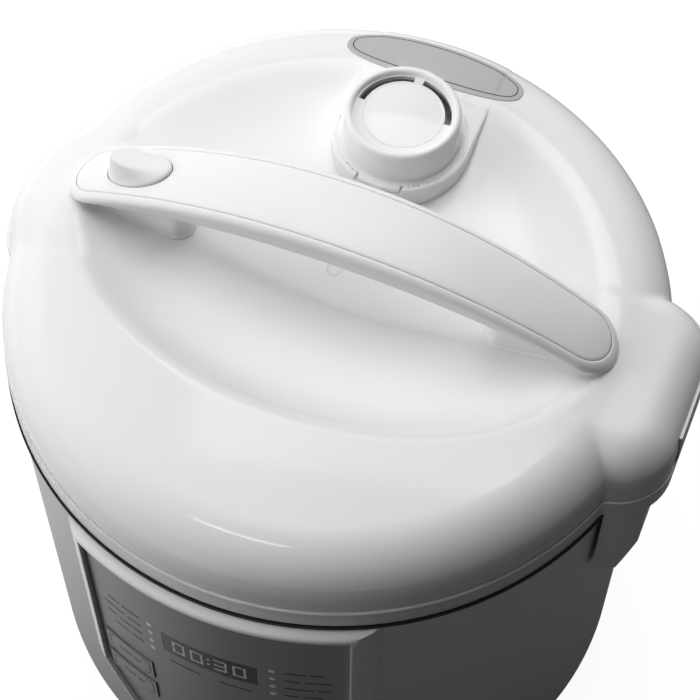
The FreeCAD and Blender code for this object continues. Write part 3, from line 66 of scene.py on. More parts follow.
# %% Place the camera
MM = 0.001
RING_Z = 245.0  # height of the line between ring and lid
VIEW_TURN = math.radians(22.093)
VIEW_RISE = math.radians(57.145)
VIEW_PITCH = math.radians(58.31)  # how far the camera looks down
VIEW_FAR = 857.7
SENSOR, LENS, SIDE_SHIFT = 36.0, 103.27, 0.018

scene = bpy.context.scene
studio_lens = bpy.data.cameras.new("studio_camera")
studio_lens.sensor_width = SENSOR
studio_lens.lens = LENS
studio_lens.shift_x = SIDE_SHIFT
camera = bpy.data.objects.new("studio_camera", studio_lens)
scene.collection.objects.link(camera)
camera.location = (
    VIEW_FAR * math.sin(VIEW_TURN) * math.cos(VIEW_RISE) * MM,
    -VIEW_FAR * math.cos(VIEW_TURN) * math.cos(VIEW_RISE) * MM,
    (RING_Z + VIEW_FAR * math.sin(VIEW_RISE)) * MM,
)
camera.rotation_euler = (math.radians(90) - VIEW_PITCH, 0.0, VIEW_TURN)
scene.camera = camera
scene.view_settings.view_transform = "Standard"
print("camera at", [round(v, 3) for v in camera.location])

# %% [markdown]
# ## Studio light
# In the picture the lid's top is evenly bright, its upright skirt is dark in front and grows lighter
# towards the left. So the main light is a soft box above and behind, which upright faces in front don't
# see. A second box above, a little to the left, lights the front of the dish and the ledges that the lid
# would shade, and a low one at the back reaches in under the handle. Two boxes on the left light the skirt
# from the side. Four of these boxes are hidden from reflections, so the white skins show no bands, and a
# narrow strip in front draws the one thin highlight.

# %% Soft boxes
LID_MIDDLE = Vector((0.0, 0.0, 0.27))


def soft_box(name, place, width, depth, watts, reflected=True):
    """Rectangular lamp that looks at the lid."""
    lamp = bpy.data.lights.new(name, "AREA")
    lamp.shape = "RECTANGLE"
    lamp.size = width
    lamp.size_y = depth
    lamp.energy = watts
    box = bpy.data.objects.new(name, lamp)
    scene.collection.objects.link(box)
    box.location = place
    box.rotation_euler = (LID_MIDDLE - Vector(place)).to_track_quat("-Z", "Y").to_euler()
    box.visible_glossy = reflected


soft_box("overhead_box", (-0.15, 0.75, 1.95), 1.1, 0.9, 9.5)
soft_box("top_box", (-0.20, 0.00, 2.20), 0.8, 0.6, 8.5, reflected=False)
soft_box("back_box", (-0.10, 1.95, 1.05), 2.6, 0.9, 24.0, reflected=False)
soft_box("left_box", (-1.60, -0.75, 0.85), 1.4, 1.0, 19.0, reflected=False)
soft_box("left_high_box", (-1.35, 0.10, 1.45), 1.2, 0.9, 7.0, reflected=False)
soft_box("highlight_strip", (-0.19, -0.92, 1.57), 0.55, 0.035, 1.4)
print("lights", bpy.data.lights.keys())

# %% [markdown]
# ## White ground
# The picture's ground is plain white, but a ground as bright as that would light the cooker from all sides.
# So the camera sees white, reflections and glass see a weaker glow, and other rays see next to nothing. The
# glow is painted light that grows towards the left, where the lamps light the floor, so steel shows a
# painted reflection that is brighter on its left. A shader can read the kind of ray from the light path. A
# faint shadow stays on the floor, so the cooker stands on something.

# %% World and floor
SKY_SEEN, SKY_GLOW, SKY_FILL = 1.0, 0.07, 0.015
# the left and right glows are painted light on the floor, which only reflections and glass see
FLOOR_SEEN, FLOOR_LEFT_GLOW, FLOOR_RIGHT_GLOW = 0.93, 0.80, 0.05
GLOW_STARTS, GLOW_FULL = -0.02, -0.24  # x in metres, to the left
FLOOR_HALF = 6.0
FLOOR_GREY, FLOOR_ROUGH = 0.12, 0.9
WHITE = (1.0, 1.0, 1.0, 1.0)


def add(tree, kind, values=None, links=None, operation=None):
    """New shader node, with some of its inputs set and others linked."""
    node = tree.nodes.new("ShaderNode" + kind)
    if operation:
        node.operation = operation
    for socket, value in (values or {}).items():
        node.inputs[socket].default_value = value
    for socket, source in (links or {}).items():
        tree.links.new(source, node.inputs[socket])
    return node


def shown_ground(tree, seen, elsewhere):
    """Strength that the camera sees as white and that reflections and glass see as a weaker glow."""
    ray = add(tree, "LightPath").outputs
    direct = add(tree, "MapRange", {"To Min": elsewhere, "To Max": seen}, {"Value": ray["Is Camera Ray"]})
    either = add(tree, "Math", None, {0: ray["Is Glossy Ray"], 1: ray["Is Transmission Ray"]}, "MAXIMUM")
    glow = add(tree, "MapRange", None, {"Value": either.outputs[0]})
    both = {0: direct.outputs["Result"], 1: glow.outputs["Result"]}
    return add(tree, "Math", None, both, "MAXIMUM").outputs[0], glow.inputs["To Max"]


sky = bpy.data.worlds.new("studio_sky")
scene.world = sky
sky.use_nodes = True
sky_light = sky.node_tree.nodes["Background"]
sky_light.inputs["Color"].default_value = WHITE
sky_strength, sky_glow = shown_ground(sky.node_tree, SKY_SEEN, SKY_FILL)
sky_glow.default_value = SKY_GLOW
sky.node_tree.links.new(sky_strength, sky_light.inputs["Strength"])

floor_corners = [(FLOOR_HALF * x, FLOOR_HALF * y, 0) for x, y in ((-1, -1), (1, -1), (1, 1), (-1, 1))]
ground_mesh = bpy.data.meshes.new("pale_floor")
ground_mesh.from_pydata(floor_corners, [], [(0, 1, 2, 3)])
ground = bpy.data.objects.new("pale_floor", ground_mesh)
scene.collection.objects.link(ground)
floor_paint = bpy.data.materials.new("pale_floor_paint")
floor_paint.use_nodes = True
floor_tree = floor_paint.node_tree
floor_inputs = floor_tree.nodes["Principled BSDF"].inputs
floor_inputs["Base Color"].default_value = (FLOOR_GREY, FLOOR_GREY, FLOOR_GREY, 1.0)
floor_inputs["Roughness"].default_value = FLOOR_ROUGH
floor_inputs["Emission Color"].default_value = WHITE
floor_strength, floor_glow = shown_ground(floor_tree, FLOOR_SEEN, 0.0)
floor_place = add(floor_tree, "TexCoord").outputs["Object"]
floor_split = add(floor_tree, "SeparateXYZ", None, {"Vector": floor_place})
# painted light: the floor's glow rises towards the left, where the lamps light the floor
painted_light_to_left = add(floor_tree, "MapRange",
                   {"From Min": GLOW_STARTS, "From Max": GLOW_FULL, "To Min": FLOOR_RIGHT_GLOW,
                    "To Max": FLOOR_LEFT_GLOW},
                   {"Value": floor_split.outputs["X"]})
floor_tree.links.new(painted_light_to_left.outputs["Result"], floor_glow)
floor_tree.links.new(floor_strength, floor_inputs["Emission Strength"])
ground_mesh.materials.append(floor_paint)
print("floor", 2 * FLOOR_HALF, "m wide")

# %% [markdown]
# ## Finishes
# A moulded white plastic isn't one flat white: it has a faint cloudiness, a gloss that varies by a few
# percent and a very fine orange peel. One function makes such a finish from noise in the object's space.
# The colour, roughness and bump of each finish come from how the real material looks up close.

# %% Helpers and plain finishes
def lay_on(tree, colours, cloudy, rough, swing, fine, relief, distance):
    """Wire colour, uneven roughness and a fine relief into a finish."""
    surface = tree.nodes["Principled BSDF"].inputs
    sheen = add(tree, "MapRange", {"To Min": max(0.02, rough - swing), "To Max": rough + swing},
                {"Value": cloudy})
    bump = add(tree, "Bump", {"Strength": relief, "Distance": distance}, {"Height": fine})
    tree.links.new(colours, surface["Base Color"])
    tree.links.new(sheen.outputs["Result"], surface["Roughness"])
    tree.links.new(bump.outputs["Normal"], surface["Normal"])


def finish(name, colour, rough, metal=0.0, cloud=0.03, cloud_size=60.0, grain=900.0, relief=0.03,
           swing=0.05, gloss=0.5):
    """Procedural finish: clouded colour, uneven roughness and a fine relief."""
    paint = bpy.data.materials.new(name)
    paint.use_nodes = True
    tree = paint.node_tree
    surface = tree.nodes["Principled BSDF"].inputs
    surface["Metallic"].default_value = metal
    surface["Specular IOR Level"].default_value = gloss
    place = add(tree, "TexCoord").outputs["Object"]
    clouds = add(tree, "TexNoise", {"Scale": cloud_size, "Detail": 4.0}, {"Vector": place}).outputs["Fac"]
    ramp = add(tree, "ValToRGB", None, {"Fac": clouds})
    ramp.color_ramp.elements[0].color = (*[c * (1.0 - cloud) for c in colour], 1.0)
    ramp.color_ramp.elements[1].color = (*[min(1.0, c * (1.0 + cloud)) for c in colour], 1.0)
    fine = add(tree, "TexNoise", {"Scale": grain, "Detail": 2.0}, {"Vector": place}).outputs["Fac"]
    lay_on(tree, ramp.outputs["Color"], clouds, rough, swing, fine, relief, distance=0.0002)
    return paint


white_gloss = finish("white_gloss_moulding", (0.86, 0.86, 0.855), 0.12, cloud=0.008, cloud_size=25.0,
                     grain=500.0, relief=0.01, swing=0.02, gloss=0.4)
white_satin = finish("white_satin_moulding", (0.86, 0.86, 0.855), 0.34, cloud=0.008, cloud_size=30.0,
                     grain=1500.0, relief=0.05, swing=0.04, gloss=0.35)
ring_white = finish("ring_white_moulding", (0.80, 0.80, 0.795), 0.26, cloud=0.01, cloud_size=30.0,
                    swing=0.04, gloss=0.4)
# painted shade: near-black for the strip that fills the shadowed gap under the ring
seam_shade_black = finish("painted_seam_shade", (0.012, 0.012, 0.012), 0.7, cloud=0.2, grain=2500.0, relief=0.2)
foot_rubber = finish("foot_black_rubber", (0.02, 0.02, 0.02), 0.75, cloud=0.2, grain=2500.0, relief=0.3)
base_black = finish("base_black_moulding", (0.03, 0.03, 0.032), 0.45, cloud=0.12, grain=1800.0, relief=0.12)
milky_silicone = finish("milky_silicone", (0.72, 0.72, 0.70), 0.5, grain=1200.0, relief=0.05)
pot_metal = finish("drawn_aluminium", (0.70, 0.70, 0.70), 0.32, metal=1.0, cloud=0.04, grain=700.0,
                   relief=0.05)
lid_steel = finish("pressed_steel", (0.62, 0.62, 0.63), 0.24, metal=1.0, grain=700.0, relief=0.04)
housing_zinc = finish("zinc_sheet", (0.32, 0.33, 0.34), 0.42, metal=1.0, cloud=0.15, cloud_size=90.0,
                      relief=0.06)
heater_cast = finish("cast_heater", (0.5, 0.5, 0.5), 0.45, metal=1.0, cloud=0.06, grain=1500.0, relief=0.12)
screw_zinc = finish("zinc_screw", (0.55, 0.56, 0.58), 0.3, metal=1.0, cloud=0.05, grain=1500.0, relief=0.05)
pin_brass = finish("contact_brass", (0.72, 0.56, 0.28), 0.28, metal=1.0, cloud=0.05, grain=1500.0,
                   relief=0.05)
electric_grey = finish("electric_grey", (0.11, 0.11, 0.12), 0.5, cloud=0.1, grain=1500.0, relief=0.1)
board_green = finish("lacquered_board", (0.03, 0.16, 0.06), 0.35, cloud=0.12, cloud_size=220.0, relief=0.08)
print_dark = finish("printed_dark_ink", (0.05, 0.05, 0.055), 0.5, cloud=0.1, grain=2500.0, relief=0.05)
print_pale = finish("printed_pale_ink", (0.62, 0.62, 0.62), 0.45, grain=2500.0, relief=0.05)
lamp_pale = finish("pale_lamp_guide", (0.75, 0.74, 0.72), 0.25, grain=1200.0)
badge_silver = finish("badge_silver_film", (0.46, 0.47, 0.47), 0.34, cloud_size=140.0, grain=2400.0,
                      relief=0.08)
print("finishes", len(bpy.data.materials))

# %% [markdown]
# ## Rubbed steel, panel film and dark window
# The shell is rolled sheet that was rubbed round and round, so its fine lines run level. A noise that is
# stretched round the axis gives them: the angle about the axis is one coordinate and the height the other.
# The panel's film is the same idea with upright lines, and the display's window is dark tinted glass.

# %% Stretched-noise finishes
LINE_SWING = 0.06  # how much the roughness varies from line to line
CLEAR = 0.75  # share of light that goes through the window


def rubbed(name, colour, rough, metal, along, across, depth, contrast):
    """Finish with fine lines round the cooker's axis, from angle and height."""
    paint = finish(name, colour, rough, metal=metal, cloud=0.0, relief=0.0)
    tree = paint.node_tree
    place = add(tree, "TexCoord").outputs["Object"]
    split = add(tree, "SeparateXYZ", None, {"Vector": place}).outputs
    angle = add(tree, "Math", None, {0: split["X"], 1: split["Y"]}, "ARCTAN2")
    lay = add(tree, "CombineXYZ", None, {"X": angle.outputs[0], "Y": split["Z"]})
    stretch = add(tree, "Mapping", {"Scale": (along, across, 1.0)}, {"Vector": lay.outputs["Vector"]})
    lines = add(tree, "TexNoise", {"Scale": 1.0, "Detail": 3.0},
                {"Vector": stretch.outputs["Vector"]}).outputs["Fac"]
    ramp = add(tree, "ValToRGB", None, {"Fac": lines})
    for end, position, change in ((0, 0.3, -contrast), (1, 0.7, contrast)):
        ramp.color_ramp.elements[end].position = position
        ramp.color_ramp.elements[end].color = (*[c * (1.0 + change) for c in colour], 1.0)
    lay_on(tree, ramp.outputs["Color"], lines, rough, LINE_SWING, lines, depth, distance=0.0001)
    return paint


shell_steel = rubbed("rubbed_shell_steel", (0.42, 0.42, 0.42), 0.34, 1.0, 6.0, 2600.0, 0.12, 0.10)
panel_film = rubbed("panel_silver_film", (0.25, 0.254, 0.258), 0.38, 0.35, 900.0, 12.0, 0.05, 0.06)

window_dark = finish("display_dark_glass", (0.10, 0.105, 0.11), 0.1, cloud=0.05, grain=600.0, relief=0.01,
                     swing=0.02)
window_dark.node_tree.nodes["Principled BSDF"].inputs["Transmission Weight"].default_value = CLEAR
print("stretched finishes", shell_steel.name, panel_film.name)

# %% [markdown]
# ## Helpers for meshes
# Most pieces below are grids of points that were worked out with arrays, so one helper turns rows of points
# into faces, rounds the shading and keeps sharp what is sharp. It also says which body carries the piece.

# %% Grid and loop meshes
def shade(mesh, keep_sharp):
    """Smooth shading that keeps edges sharper than an angle."""
    made = bmesh.new()
    made.from_mesh(mesh)
    bmesh.ops.remove_doubles(made, verts=made.verts, dist=1e-6)
    bmesh.ops.recalc_face_normals(made, faces=made.faces)
    for face in made.faces:
        face.smooth = True
    for edge in made.edges:
        if len(edge.link_faces) == 2 and edge.calc_face_angle(0.0) > math.radians(keep_sharp):
            edge.smooth = False
    made.to_mesh(mesh)
    made.free()


def skinned(name, points, faces, paint, keep_sharp):
    """Make a painted mesh object from millimetre points."""
    mesh = bpy.data.meshes.new(name)
    mesh.from_pydata((np.asarray(points, float) * MM).tolist(), [], faces)
    shade(mesh, keep_sharp)
    mesh.materials.append(paint)
    made = bpy.data.objects.new(name, mesh)
    scene.collection.objects.link(made)
    return made


def piece(name, points, faces, paint, body, stands_for=(), keep_sharp=40.0):
    """Make a painted mesh piece and let it ride on a body."""
    made = skinned(name, points, faces, paint, keep_sharp)
    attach(made, body)
    if stands_for:
        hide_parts(*stands_for)
    return made


def grid_faces(rows, columns, closed=True):
    """Quads between rows of a grid whose columns go round, or don't."""
    faces = []
    for row in range(rows - 1):
        for column in range(columns if closed else columns - 1):
            right = (column + 1) % columns
            faces.append((row * columns + column, row * columns + right, (row + 1) * columns + right,
                          (row + 1) * columns + column))
    return faces


def loft(name, rows, paint, body, stands_for=(), keep_sharp=40.0):
    """Piece from closed rows that have the same number of points."""
    faces = grid_faces(len(rows), len(rows[0]))
    return piece(name, np.concatenate(rows), faces, paint, body, stands_for, keep_sharp)


# %% [markdown]
# ## The lid's skin
# The real lid is one moulding: a shallow dome with a rounded shoulder, a lobe over each ear, and a dish
# that is pressed into the top with a soft crest. Joining and cutting plain solids would leave hard creases,
# so the skin is described as a field instead, from the lengths below.

# %% Lengths of the lid
LID_EDGE = 0.5  # heights here are above the ring line
SKIRT = 7.2
SHOULDER = 25.0
DOME = 800.0
LID_R = 141.2
RIGHT_LOBE = (155.2, 45.2, 25.2)  # reach, half width and corner
LEFT_LOBE = (146.5, 38.0, 31.0)
LOBE_ROUND = 17.0
LOBE_LEAVES = 105.0  # distance from the axis at which the lobe's top leaves the dome
LOBE_BACK = 60.0  # the lobe's top follows the dome as far as this to the sides
RIGHT_BLEND, LEFT_BLEND, DISH_BLEND, SEAT_BLEND = 1.0, 6.0, 9.0, 1.5
STEP_Z = 16.5
DISH_X, DISH_FRONT, DISH_BACK, DISH_DEEP, DISH_RIM = 107.0, 71.0, 103.0, 17.0, 37.0
VALVE_Y = 74.0
SEAT_R = 30.5
SEAT_Z = 33.0
SEAT_INSET, SEAT_SUNK = 1.4, 0.25  # so that the skin's seat lies inside the finer one below

shoulder_r = LID_R - SHOULDER
shoulder_z = LID_EDGE + SKIRT
dome_z = shoulder_z - math.sqrt((DOME - SHOULDER) ** 2 - shoulder_r ** 2)
lobe_slope = LOBE_LEAVES / math.sqrt(DOME ** 2 - LOBE_LEAVES ** 2)
print("dome top", round(dome_z + DOME, 2), "lobe falls", round(lobe_slope, 3), "per mm")

# %% [markdown]
# ## Fields of the lid
# A field gives each point in space a distance, negative inside the form. The smaller of two fields joins
# two forms and the larger one cuts them. A soft minimum also rounds the crease, as a mould would.

# %% Fields of dome, lobes, dish and valve seat
def soft_min(a, b, blend):
    h = np.clip(0.5 + 0.5 * (b - a) / blend, 0.0, 1.0)
    return b * (1.0 - h) + a * h - blend * h * (1.0 - h)


def soft_max(a, b, blend):
    return -soft_min(-a, -b, blend)


def dome_field(x, y, z):
    r = np.hypot(x, y)
    on_dome = r * (shoulder_z - dome_z) < shoulder_r * (z - dome_z)
    cap = np.hypot(r, z - dome_z) - DOME
    bend = np.hypot(r - shoulder_r, z - shoulder_z) - SHOULDER
    return np.where(on_dome, cap, np.where(z < shoulder_z, r - LID_R, bend))


def rounded(a, b, corner):
    """Distance outside two sides that meet in a rounded corner."""
    return np.hypot(np.maximum(a, 0.0), np.maximum(b, 0.0)) + np.minimum(np.maximum(a, b), 0.0) - corner


def ear_plan(x, y, right, left):
    """Distance outside an ear's rounded outline, seen from above."""
    far, half, corner = [np.where(x > 0.0, a, b) for a, b in zip(right, left)]
    return rounded(np.abs(x) - (far - corner), np.abs(y) - (half - corner), corner)


def lobe_field(x, y, z):
    plan = ear_plan(x, y, RIGHT_LOBE, LEFT_LOBE)
    ridge = dome_z + np.sqrt(DOME ** 2 - LOBE_LEAVES ** 2 - np.minimum(np.abs(y), LOBE_BACK) ** 2)
    top = (z - ridge + lobe_slope * (np.abs(x) - LOBE_LEAVES)) / math.hypot(1.0, lobe_slope)
    return rounded(plan + LOBE_ROUND, top + LOBE_ROUND, LOBE_ROUND)


def dish_field(x, y, z):
    across = np.where(y > 0.0, DISH_BACK, DISH_FRONT)
    u, v, w = x / DISH_X, y / across, (z - DISH_RIM) / DISH_DEEP
    size = np.sqrt(u * u + v * v + w * w) + 1e-9
    steep = np.sqrt((u / DISH_X) ** 2 + (v / across) ** 2 + (w / DISH_DEEP) ** 2) / size + 1e-9
    return (size - 1.0) / steep


def seat_field(x, y, z):
    back = np.hypot(x, np.minimum(y - VALVE_Y, 0.0)) - (SEAT_R - SEAT_INSET)
    return np.maximum(np.maximum(back, z - (SEAT_Z - SEAT_SUNK)), dome_field(x, y, z))


def lid_field(x, y, z, lobes):
    form = dome_field(x, y, z)
    joined = soft_min(form, lobe_field(x, y, z), np.where(x > 0.0, RIGHT_BLEND, LEFT_BLEND))
    form = np.where(lobes, joined, form)
    form = soft_max(form, -dish_field(x, y, z), DISH_BLEND)
    return soft_min(form, seat_field(x, y, z), SEAT_BLEND)


print("field on the axis, 10 mm up", round(float(lid_field(0.0, 0.0, 10.0, True)), 2))

# %% [markdown]
# ## From field to skin
# Rays start inside the lid: upright ones near the axis, and a fan in each half plane further out. Halving
# a ray again and again finds where the field changes sign, and these ends are the skin's points. A grid of
# rays is chosen because its rows follow the rim, so the shading stays even. Holes are left for the valve,
# the release rod and the handle's screws.

# %% Cast the rays and make the skin
HALVINGS = 44
RAY_Z, RAY_UP, RAY_OUT = 2.0, 60.0, 90.0  # height at which upright rays start, and how far rays may go
STEP_TURN, STEP_END = -6.15, 40.0  # degrees between which the lobe has no low part
PIVOT_R = 100.0
BUTTON_X, LEG_X = -88.0, 73.5
VALVE_HOLE, SCREW_HOLE = 23.0, 4.0


def boundary(field, near, far):
    """Distance at which a field stops being negative, found by halving."""
    for _ in range(HALVINGS):
        mid = 0.5 * (near + far)
        inside = field(mid) < 0.0
        near = np.where(inside, mid, near)
        far = np.where(inside, far, mid)
    return 0.5 * (near + far)


def reach(x, y, z, dx, dy, dz, far, lobes):
    """How far each ray goes before it leaves the lid."""
    return boundary(lambda way: lid_field(x + dx * way, y + dy * way, z + dz * way, lobes), 0.0, far)


def lid_height(x, y):
    """Height of the lid's top above the ring line."""
    return RAY_Z + reach(x, y, RAY_Z, 0.0, 0.0, 1.0, RAY_UP, True)


def above_ring(x, y, z):
    """Points from their plan and their height above the ring line."""
    return np.column_stack([x, y, RING_Z + z * np.ones_like(x)])


columns = np.unique(np.concatenate([np.arange(-180.0, 180.0, 0.6), np.arange(-26.0, -16.0, 0.1),
                                    [STEP_TURN - 0.12, STEP_TURN + 0.12]]).round(3))
columns = columns[np.abs(columns - STEP_TURN) > 0.1]
turn = np.radians(columns)
cos_t, sin_t = np.cos(turn), np.sin(turn)
stepped = (columns > STEP_TURN) & (columns < STEP_END)
pivot = (PIVOT_R * cos_t, PIVOT_R * sin_t)
rows = []
for r in np.linspace(0.0, PIVOT_R, 64)[:-1]:
    x, y = r * cos_t, r * sin_t
    rows.append(above_ring(x, y, lid_height(x, y)))
for tilt in np.radians(np.linspace(90.0, 0.0, 76)):
    dr, dz = math.cos(tilt), math.sin(tilt)
    far = reach(*pivot, STEP_Z, dr * cos_t, dr * sin_t, dz, RAY_OUT, True)
    r = PIVOT_R + dr * far
    rows.append(above_ring(r * cos_t, r * sin_t, STEP_Z + dz * far))
for z in (STEP_Z - 0.05, 12.0, 8.0, 4.0, 2.0, LID_EDGE + 0.5):
    r = PIVOT_R + reach(*pivot, z, cos_t, sin_t, 0.0, RAY_OUT, ~stepped)
    rows.append(above_ring(r * cos_t, r * sin_t, z))
for inset in (0.5, 5.0):
    rows.append(above_ring((r - inset) * cos_t, (r - inset) * sin_t, LID_EDGE))
skin = np.concatenate(rows)
skin_faces = grid_faces(len(rows), len(columns))
x, y, _ = skin[np.array(skin_faces)].mean(1).T
hidden = np.hypot(x, y - VALVE_Y) < VALVE_HOLE
hidden |= np.hypot(x - BUTTON_X, y) < SCREW_HOLE
hidden |= np.hypot(np.abs(x) - LEG_X, y) < SCREW_HOLE
skin_faces = [face for face, gone in zip(skin_faces, hidden) if not gone]
piece("lid_skin", skin, skin_faces, white_gloss, "lid", ["lid_cover"], keep_sharp=55.0)
print("lid skin", len(skin_faces), "faces, top", round(skin[:, 2].max(), 2))

# %% [markdown]
# ## Valve seat
# The steam cap stands on a raised seat, round in front and running straight back into the lid's crest. It
# is moulded with the lid, with a step round the cap's flange and a notch in front for the cap's finger tab.
# A stack of loops about the valve's axis makes it: each loop has a distance from the axis and a height.

# %% Stack loops for the seat
def stack(turn, loops, y=0.0):
    """Closed rows about an upright axis, from distances and heights over one set of angles."""
    return [above_ring(far * np.cos(turn), y + far * np.sin(turn), height) for far, height in loops]


FRONT = 270.0  # degrees, the way to the panel


def all_round(step, *beside):
    """Angles at even steps, with extra ones on both sides of the front, in degrees."""
    extra = [FRONT + way * angle for way in (-1.0, 1.0) for angle in beside]
    return np.unique([*np.arange(0.0, 360.0, step), *extra])


NOTCH = 20.5  # half the finger notch, in degrees
SEAT_BACK = 32.0
SEAT_FLOOR = 30.5
FLANGE_R = 27.6
HOLE_R = 14.0
seat_turn = all_round(1.5, NOTCH, NOTCH + 0.4)
in_notch = np.abs(seat_turn - FRONT) <= NOTCH
seat_turn = np.radians(seat_turn)
side = SEAT_R / np.maximum(np.abs(np.cos(seat_turn)), 1e-6)
back = SEAT_BACK / np.maximum(np.sin(seat_turn), 1e-6)
seat_edge = np.where(np.sin(seat_turn) > 0.0, np.minimum(side, back), SEAT_R)
seat_top = np.where(in_notch, SEAT_FLOOR, SEAT_Z)
step_r = FLANGE_R + 0.8
seat_loops = [
    (seat_edge, 17.0), (seat_edge, seat_top - 1.3), (seat_edge - 0.15, seat_top - 0.7),
    (seat_edge - 0.5, seat_top - 0.2), (seat_edge - 1.1, seat_top), (step_r + 0.35, seat_top),
    (step_r + 0.1, np.maximum(seat_top - 0.1, SEAT_FLOOR)),
    (step_r, np.maximum(seat_top - 0.35, SEAT_FLOOR)), (step_r, SEAT_FLOOR),
    (HOLE_R + 0.5, SEAT_FLOOR), (HOLE_R, SEAT_FLOOR - 0.5), (HOLE_R, 19.0),
]
seat = loft("valve_seat", stack(seat_turn, seat_loops, VALVE_Y), white_gloss, "lid", keep_sharp=50.0)
print("valve seat", len(seat.data.polygons), "faces")

# %% [markdown]
# ## Steam cap
# The cap lifts off for washing. Its wall leans in a little for release from the mould, its top edge is a
# soft roll and the disc inside lies lower, with a shallow dome and a thin bead. Steam leaves through two
# curved slots at the back, which look dark because there is nothing but the valve's weight behind them.

# %% Turn the cap's wall
TAB, TAB_CORNER, TAB_LONG = 19.4, 0.8, 2.2  # half angle and corner in degrees, reach in mm
tab_turn = all_round(1.5, TAB, TAB - TAB_CORNER)
tab_reach = np.clip((TAB - np.abs(tab_turn - FRONT)) / TAB_CORNER, 0.0, 1.0)
tab_turn = np.radians(tab_turn)
flange = FLANGE_R + TAB_LONG * tab_reach
# Distance from the axis and height. Without a distance, or with one below zero, a row follows the flange.
CAP_PROFILE = ((22.0, 30.9), (None, 30.9), (None, 32.3), (-0.25, 32.75), (-0.7, 32.9), (26.1, 32.9),
               (25.75, 33.15), (25.6, 33.8), (25.1, 47.2), (24.95, 47.9), (24.55, 48.55), (23.9, 48.93),
               (23.2, 49.0), (22.5, 48.9), (22.0, 48.55), (21.75, 48.0), (21.55, 46.6), (21.2, 46.2))
cap_loops = [(flange if r is None else flange + r if r < 0.0 else r, z) for r, z in CAP_PROFILE]
cap_wall = loft("steam_cap_wall", stack(tab_turn, cap_loops, VALVE_Y), white_gloss, "steam_cap",
                ["steam_cap_ring"], keep_sharp=50.0)
print("steam cap wall", len(cap_wall.data.polygons), "faces")

# %% [markdown]
# ## Disc of the cap
# The disc is a sheet of rings about the same axis. Leaving out the faces of two arcs opens the steam slots,
# and their open edges get a short wall downwards, so the sheet looks as thick as the moulding.

# %% Press the disc with its slots
DISC_Z, DISC_RISE, DISC_R = 46.55, 1.25, 17.1
SLOT_IN, SLOT_OUT, SLOT_DEEP = 18.0, 20.9, 2.2
RIGHT_SLOT, LEFT_SLOT = (5, 84), (96, 176)  # degrees
disc_r = np.array([0.0, 3.0, 6.0, 9.0, 12.0, 14.0, 15.5, 16.6, DISC_R, 17.35, 17.6, 17.85, SLOT_IN,
                   SLOT_OUT, 21.3, 21.9])
disc_turn = np.radians(all_round(1.0))
rise = DISC_RISE * np.clip(1.0 - (disc_r / DISC_R) ** 2, 0.0, 1.0)
bead = np.interp(disc_r, [DISC_R, 17.35, 17.6, 17.85], [0.0, 0.22, 0.22, 0.0])
disc_rows = stack(disc_turn, zip(disc_r, DISC_Z + (rise + bead)), VALVE_Y)
disc_points = np.concatenate(disc_rows)
disc_faces = grid_faces(len(disc_rows), len(disc_turn))
x, y, _ = disc_points[np.array(disc_faces)].mean(1).T
face_r = np.hypot(x, y - VALVE_Y)
face_turn = np.degrees(np.arctan2(y - VALVE_Y, x)) % 360.0
in_arc = [(face_turn > start) & (face_turn < end) for start, end in (RIGHT_SLOT, LEFT_SLOT)]
slot = (face_r > SLOT_IN) & (face_r < SLOT_OUT) & (in_arc[0] | in_arc[1])
disc_faces = [face for face, gone in zip(disc_faces, slot) if not gone]
cap_disc = piece("steam_cap_disc_skin", disc_points, disc_faces, white_gloss, "steam_cap",
                 ["steam_cap_disc"], keep_sharp=50.0)


def wall_down(made, chosen, depth):
    """Give the chosen open edges of a sheet a wall that goes down."""
    sheet = bmesh.new()
    sheet.from_mesh(made.data)
    rim = [e for e in sheet.edges if e.is_boundary and all(chosen(v.co) for v in e.verts)]
    grown = bmesh.ops.extrude_edge_only(sheet, edges=rim)["geom"]
    fresh = [v for v in grown if isinstance(v, bmesh.types.BMVert)]
    bmesh.ops.translate(sheet, verts=fresh, vec=(0.0, 0.0, -depth * MM))
    for e in rim:
        e.smooth = False
    sheet.to_mesh(made.data)
    sheet.free()
    return len(rim)


def beside_slot(co):
    return SLOT_IN - 0.1 < math.hypot(co.x / MM, co.y / MM - VALVE_Y) < SLOT_OUT + 0.1


print("slot edges", wall_down(cap_disc, beside_slot, SLOT_DEEP))

# %% [markdown]
# ## Bow handle
# The handle is two mouldings: a base with a rolled lip and a cover that drops into it, so a thin parting
# line runs round the top. Both follow one outline, seen from above, and two arches. A loop is the outline
# drawn in by some distance, and its height comes from the arch at each point, so one function makes lip,
# wall, underside and cover.

# %% Outline and arches of the handle
HANDLE_X, HANDLE_END, HANDLE_MID = 121.0, 15.0, 18.5
BEND_X = HANDLE_X - HANDLE_END
CROWN = 1.7  # how much lower the handle's long edges are than its middle
COVER_ARCH, UNDER_ARCH = (38.0, 72.0), (32.5, 60.0)  # heights at the ends and in the middle


def arch(x, end, middle, half=HANDLE_X):
    """Circular arch, from its heights at both ends and in the middle."""
    rise = middle - end
    radius = (half ** 2 + rise ** 2) / (2.0 * rise)
    return middle - radius + np.sqrt(radius ** 2 - x ** 2)


def half_width(x):
    return arch(x, HANDLE_END, HANDLE_MID, BEND_X)


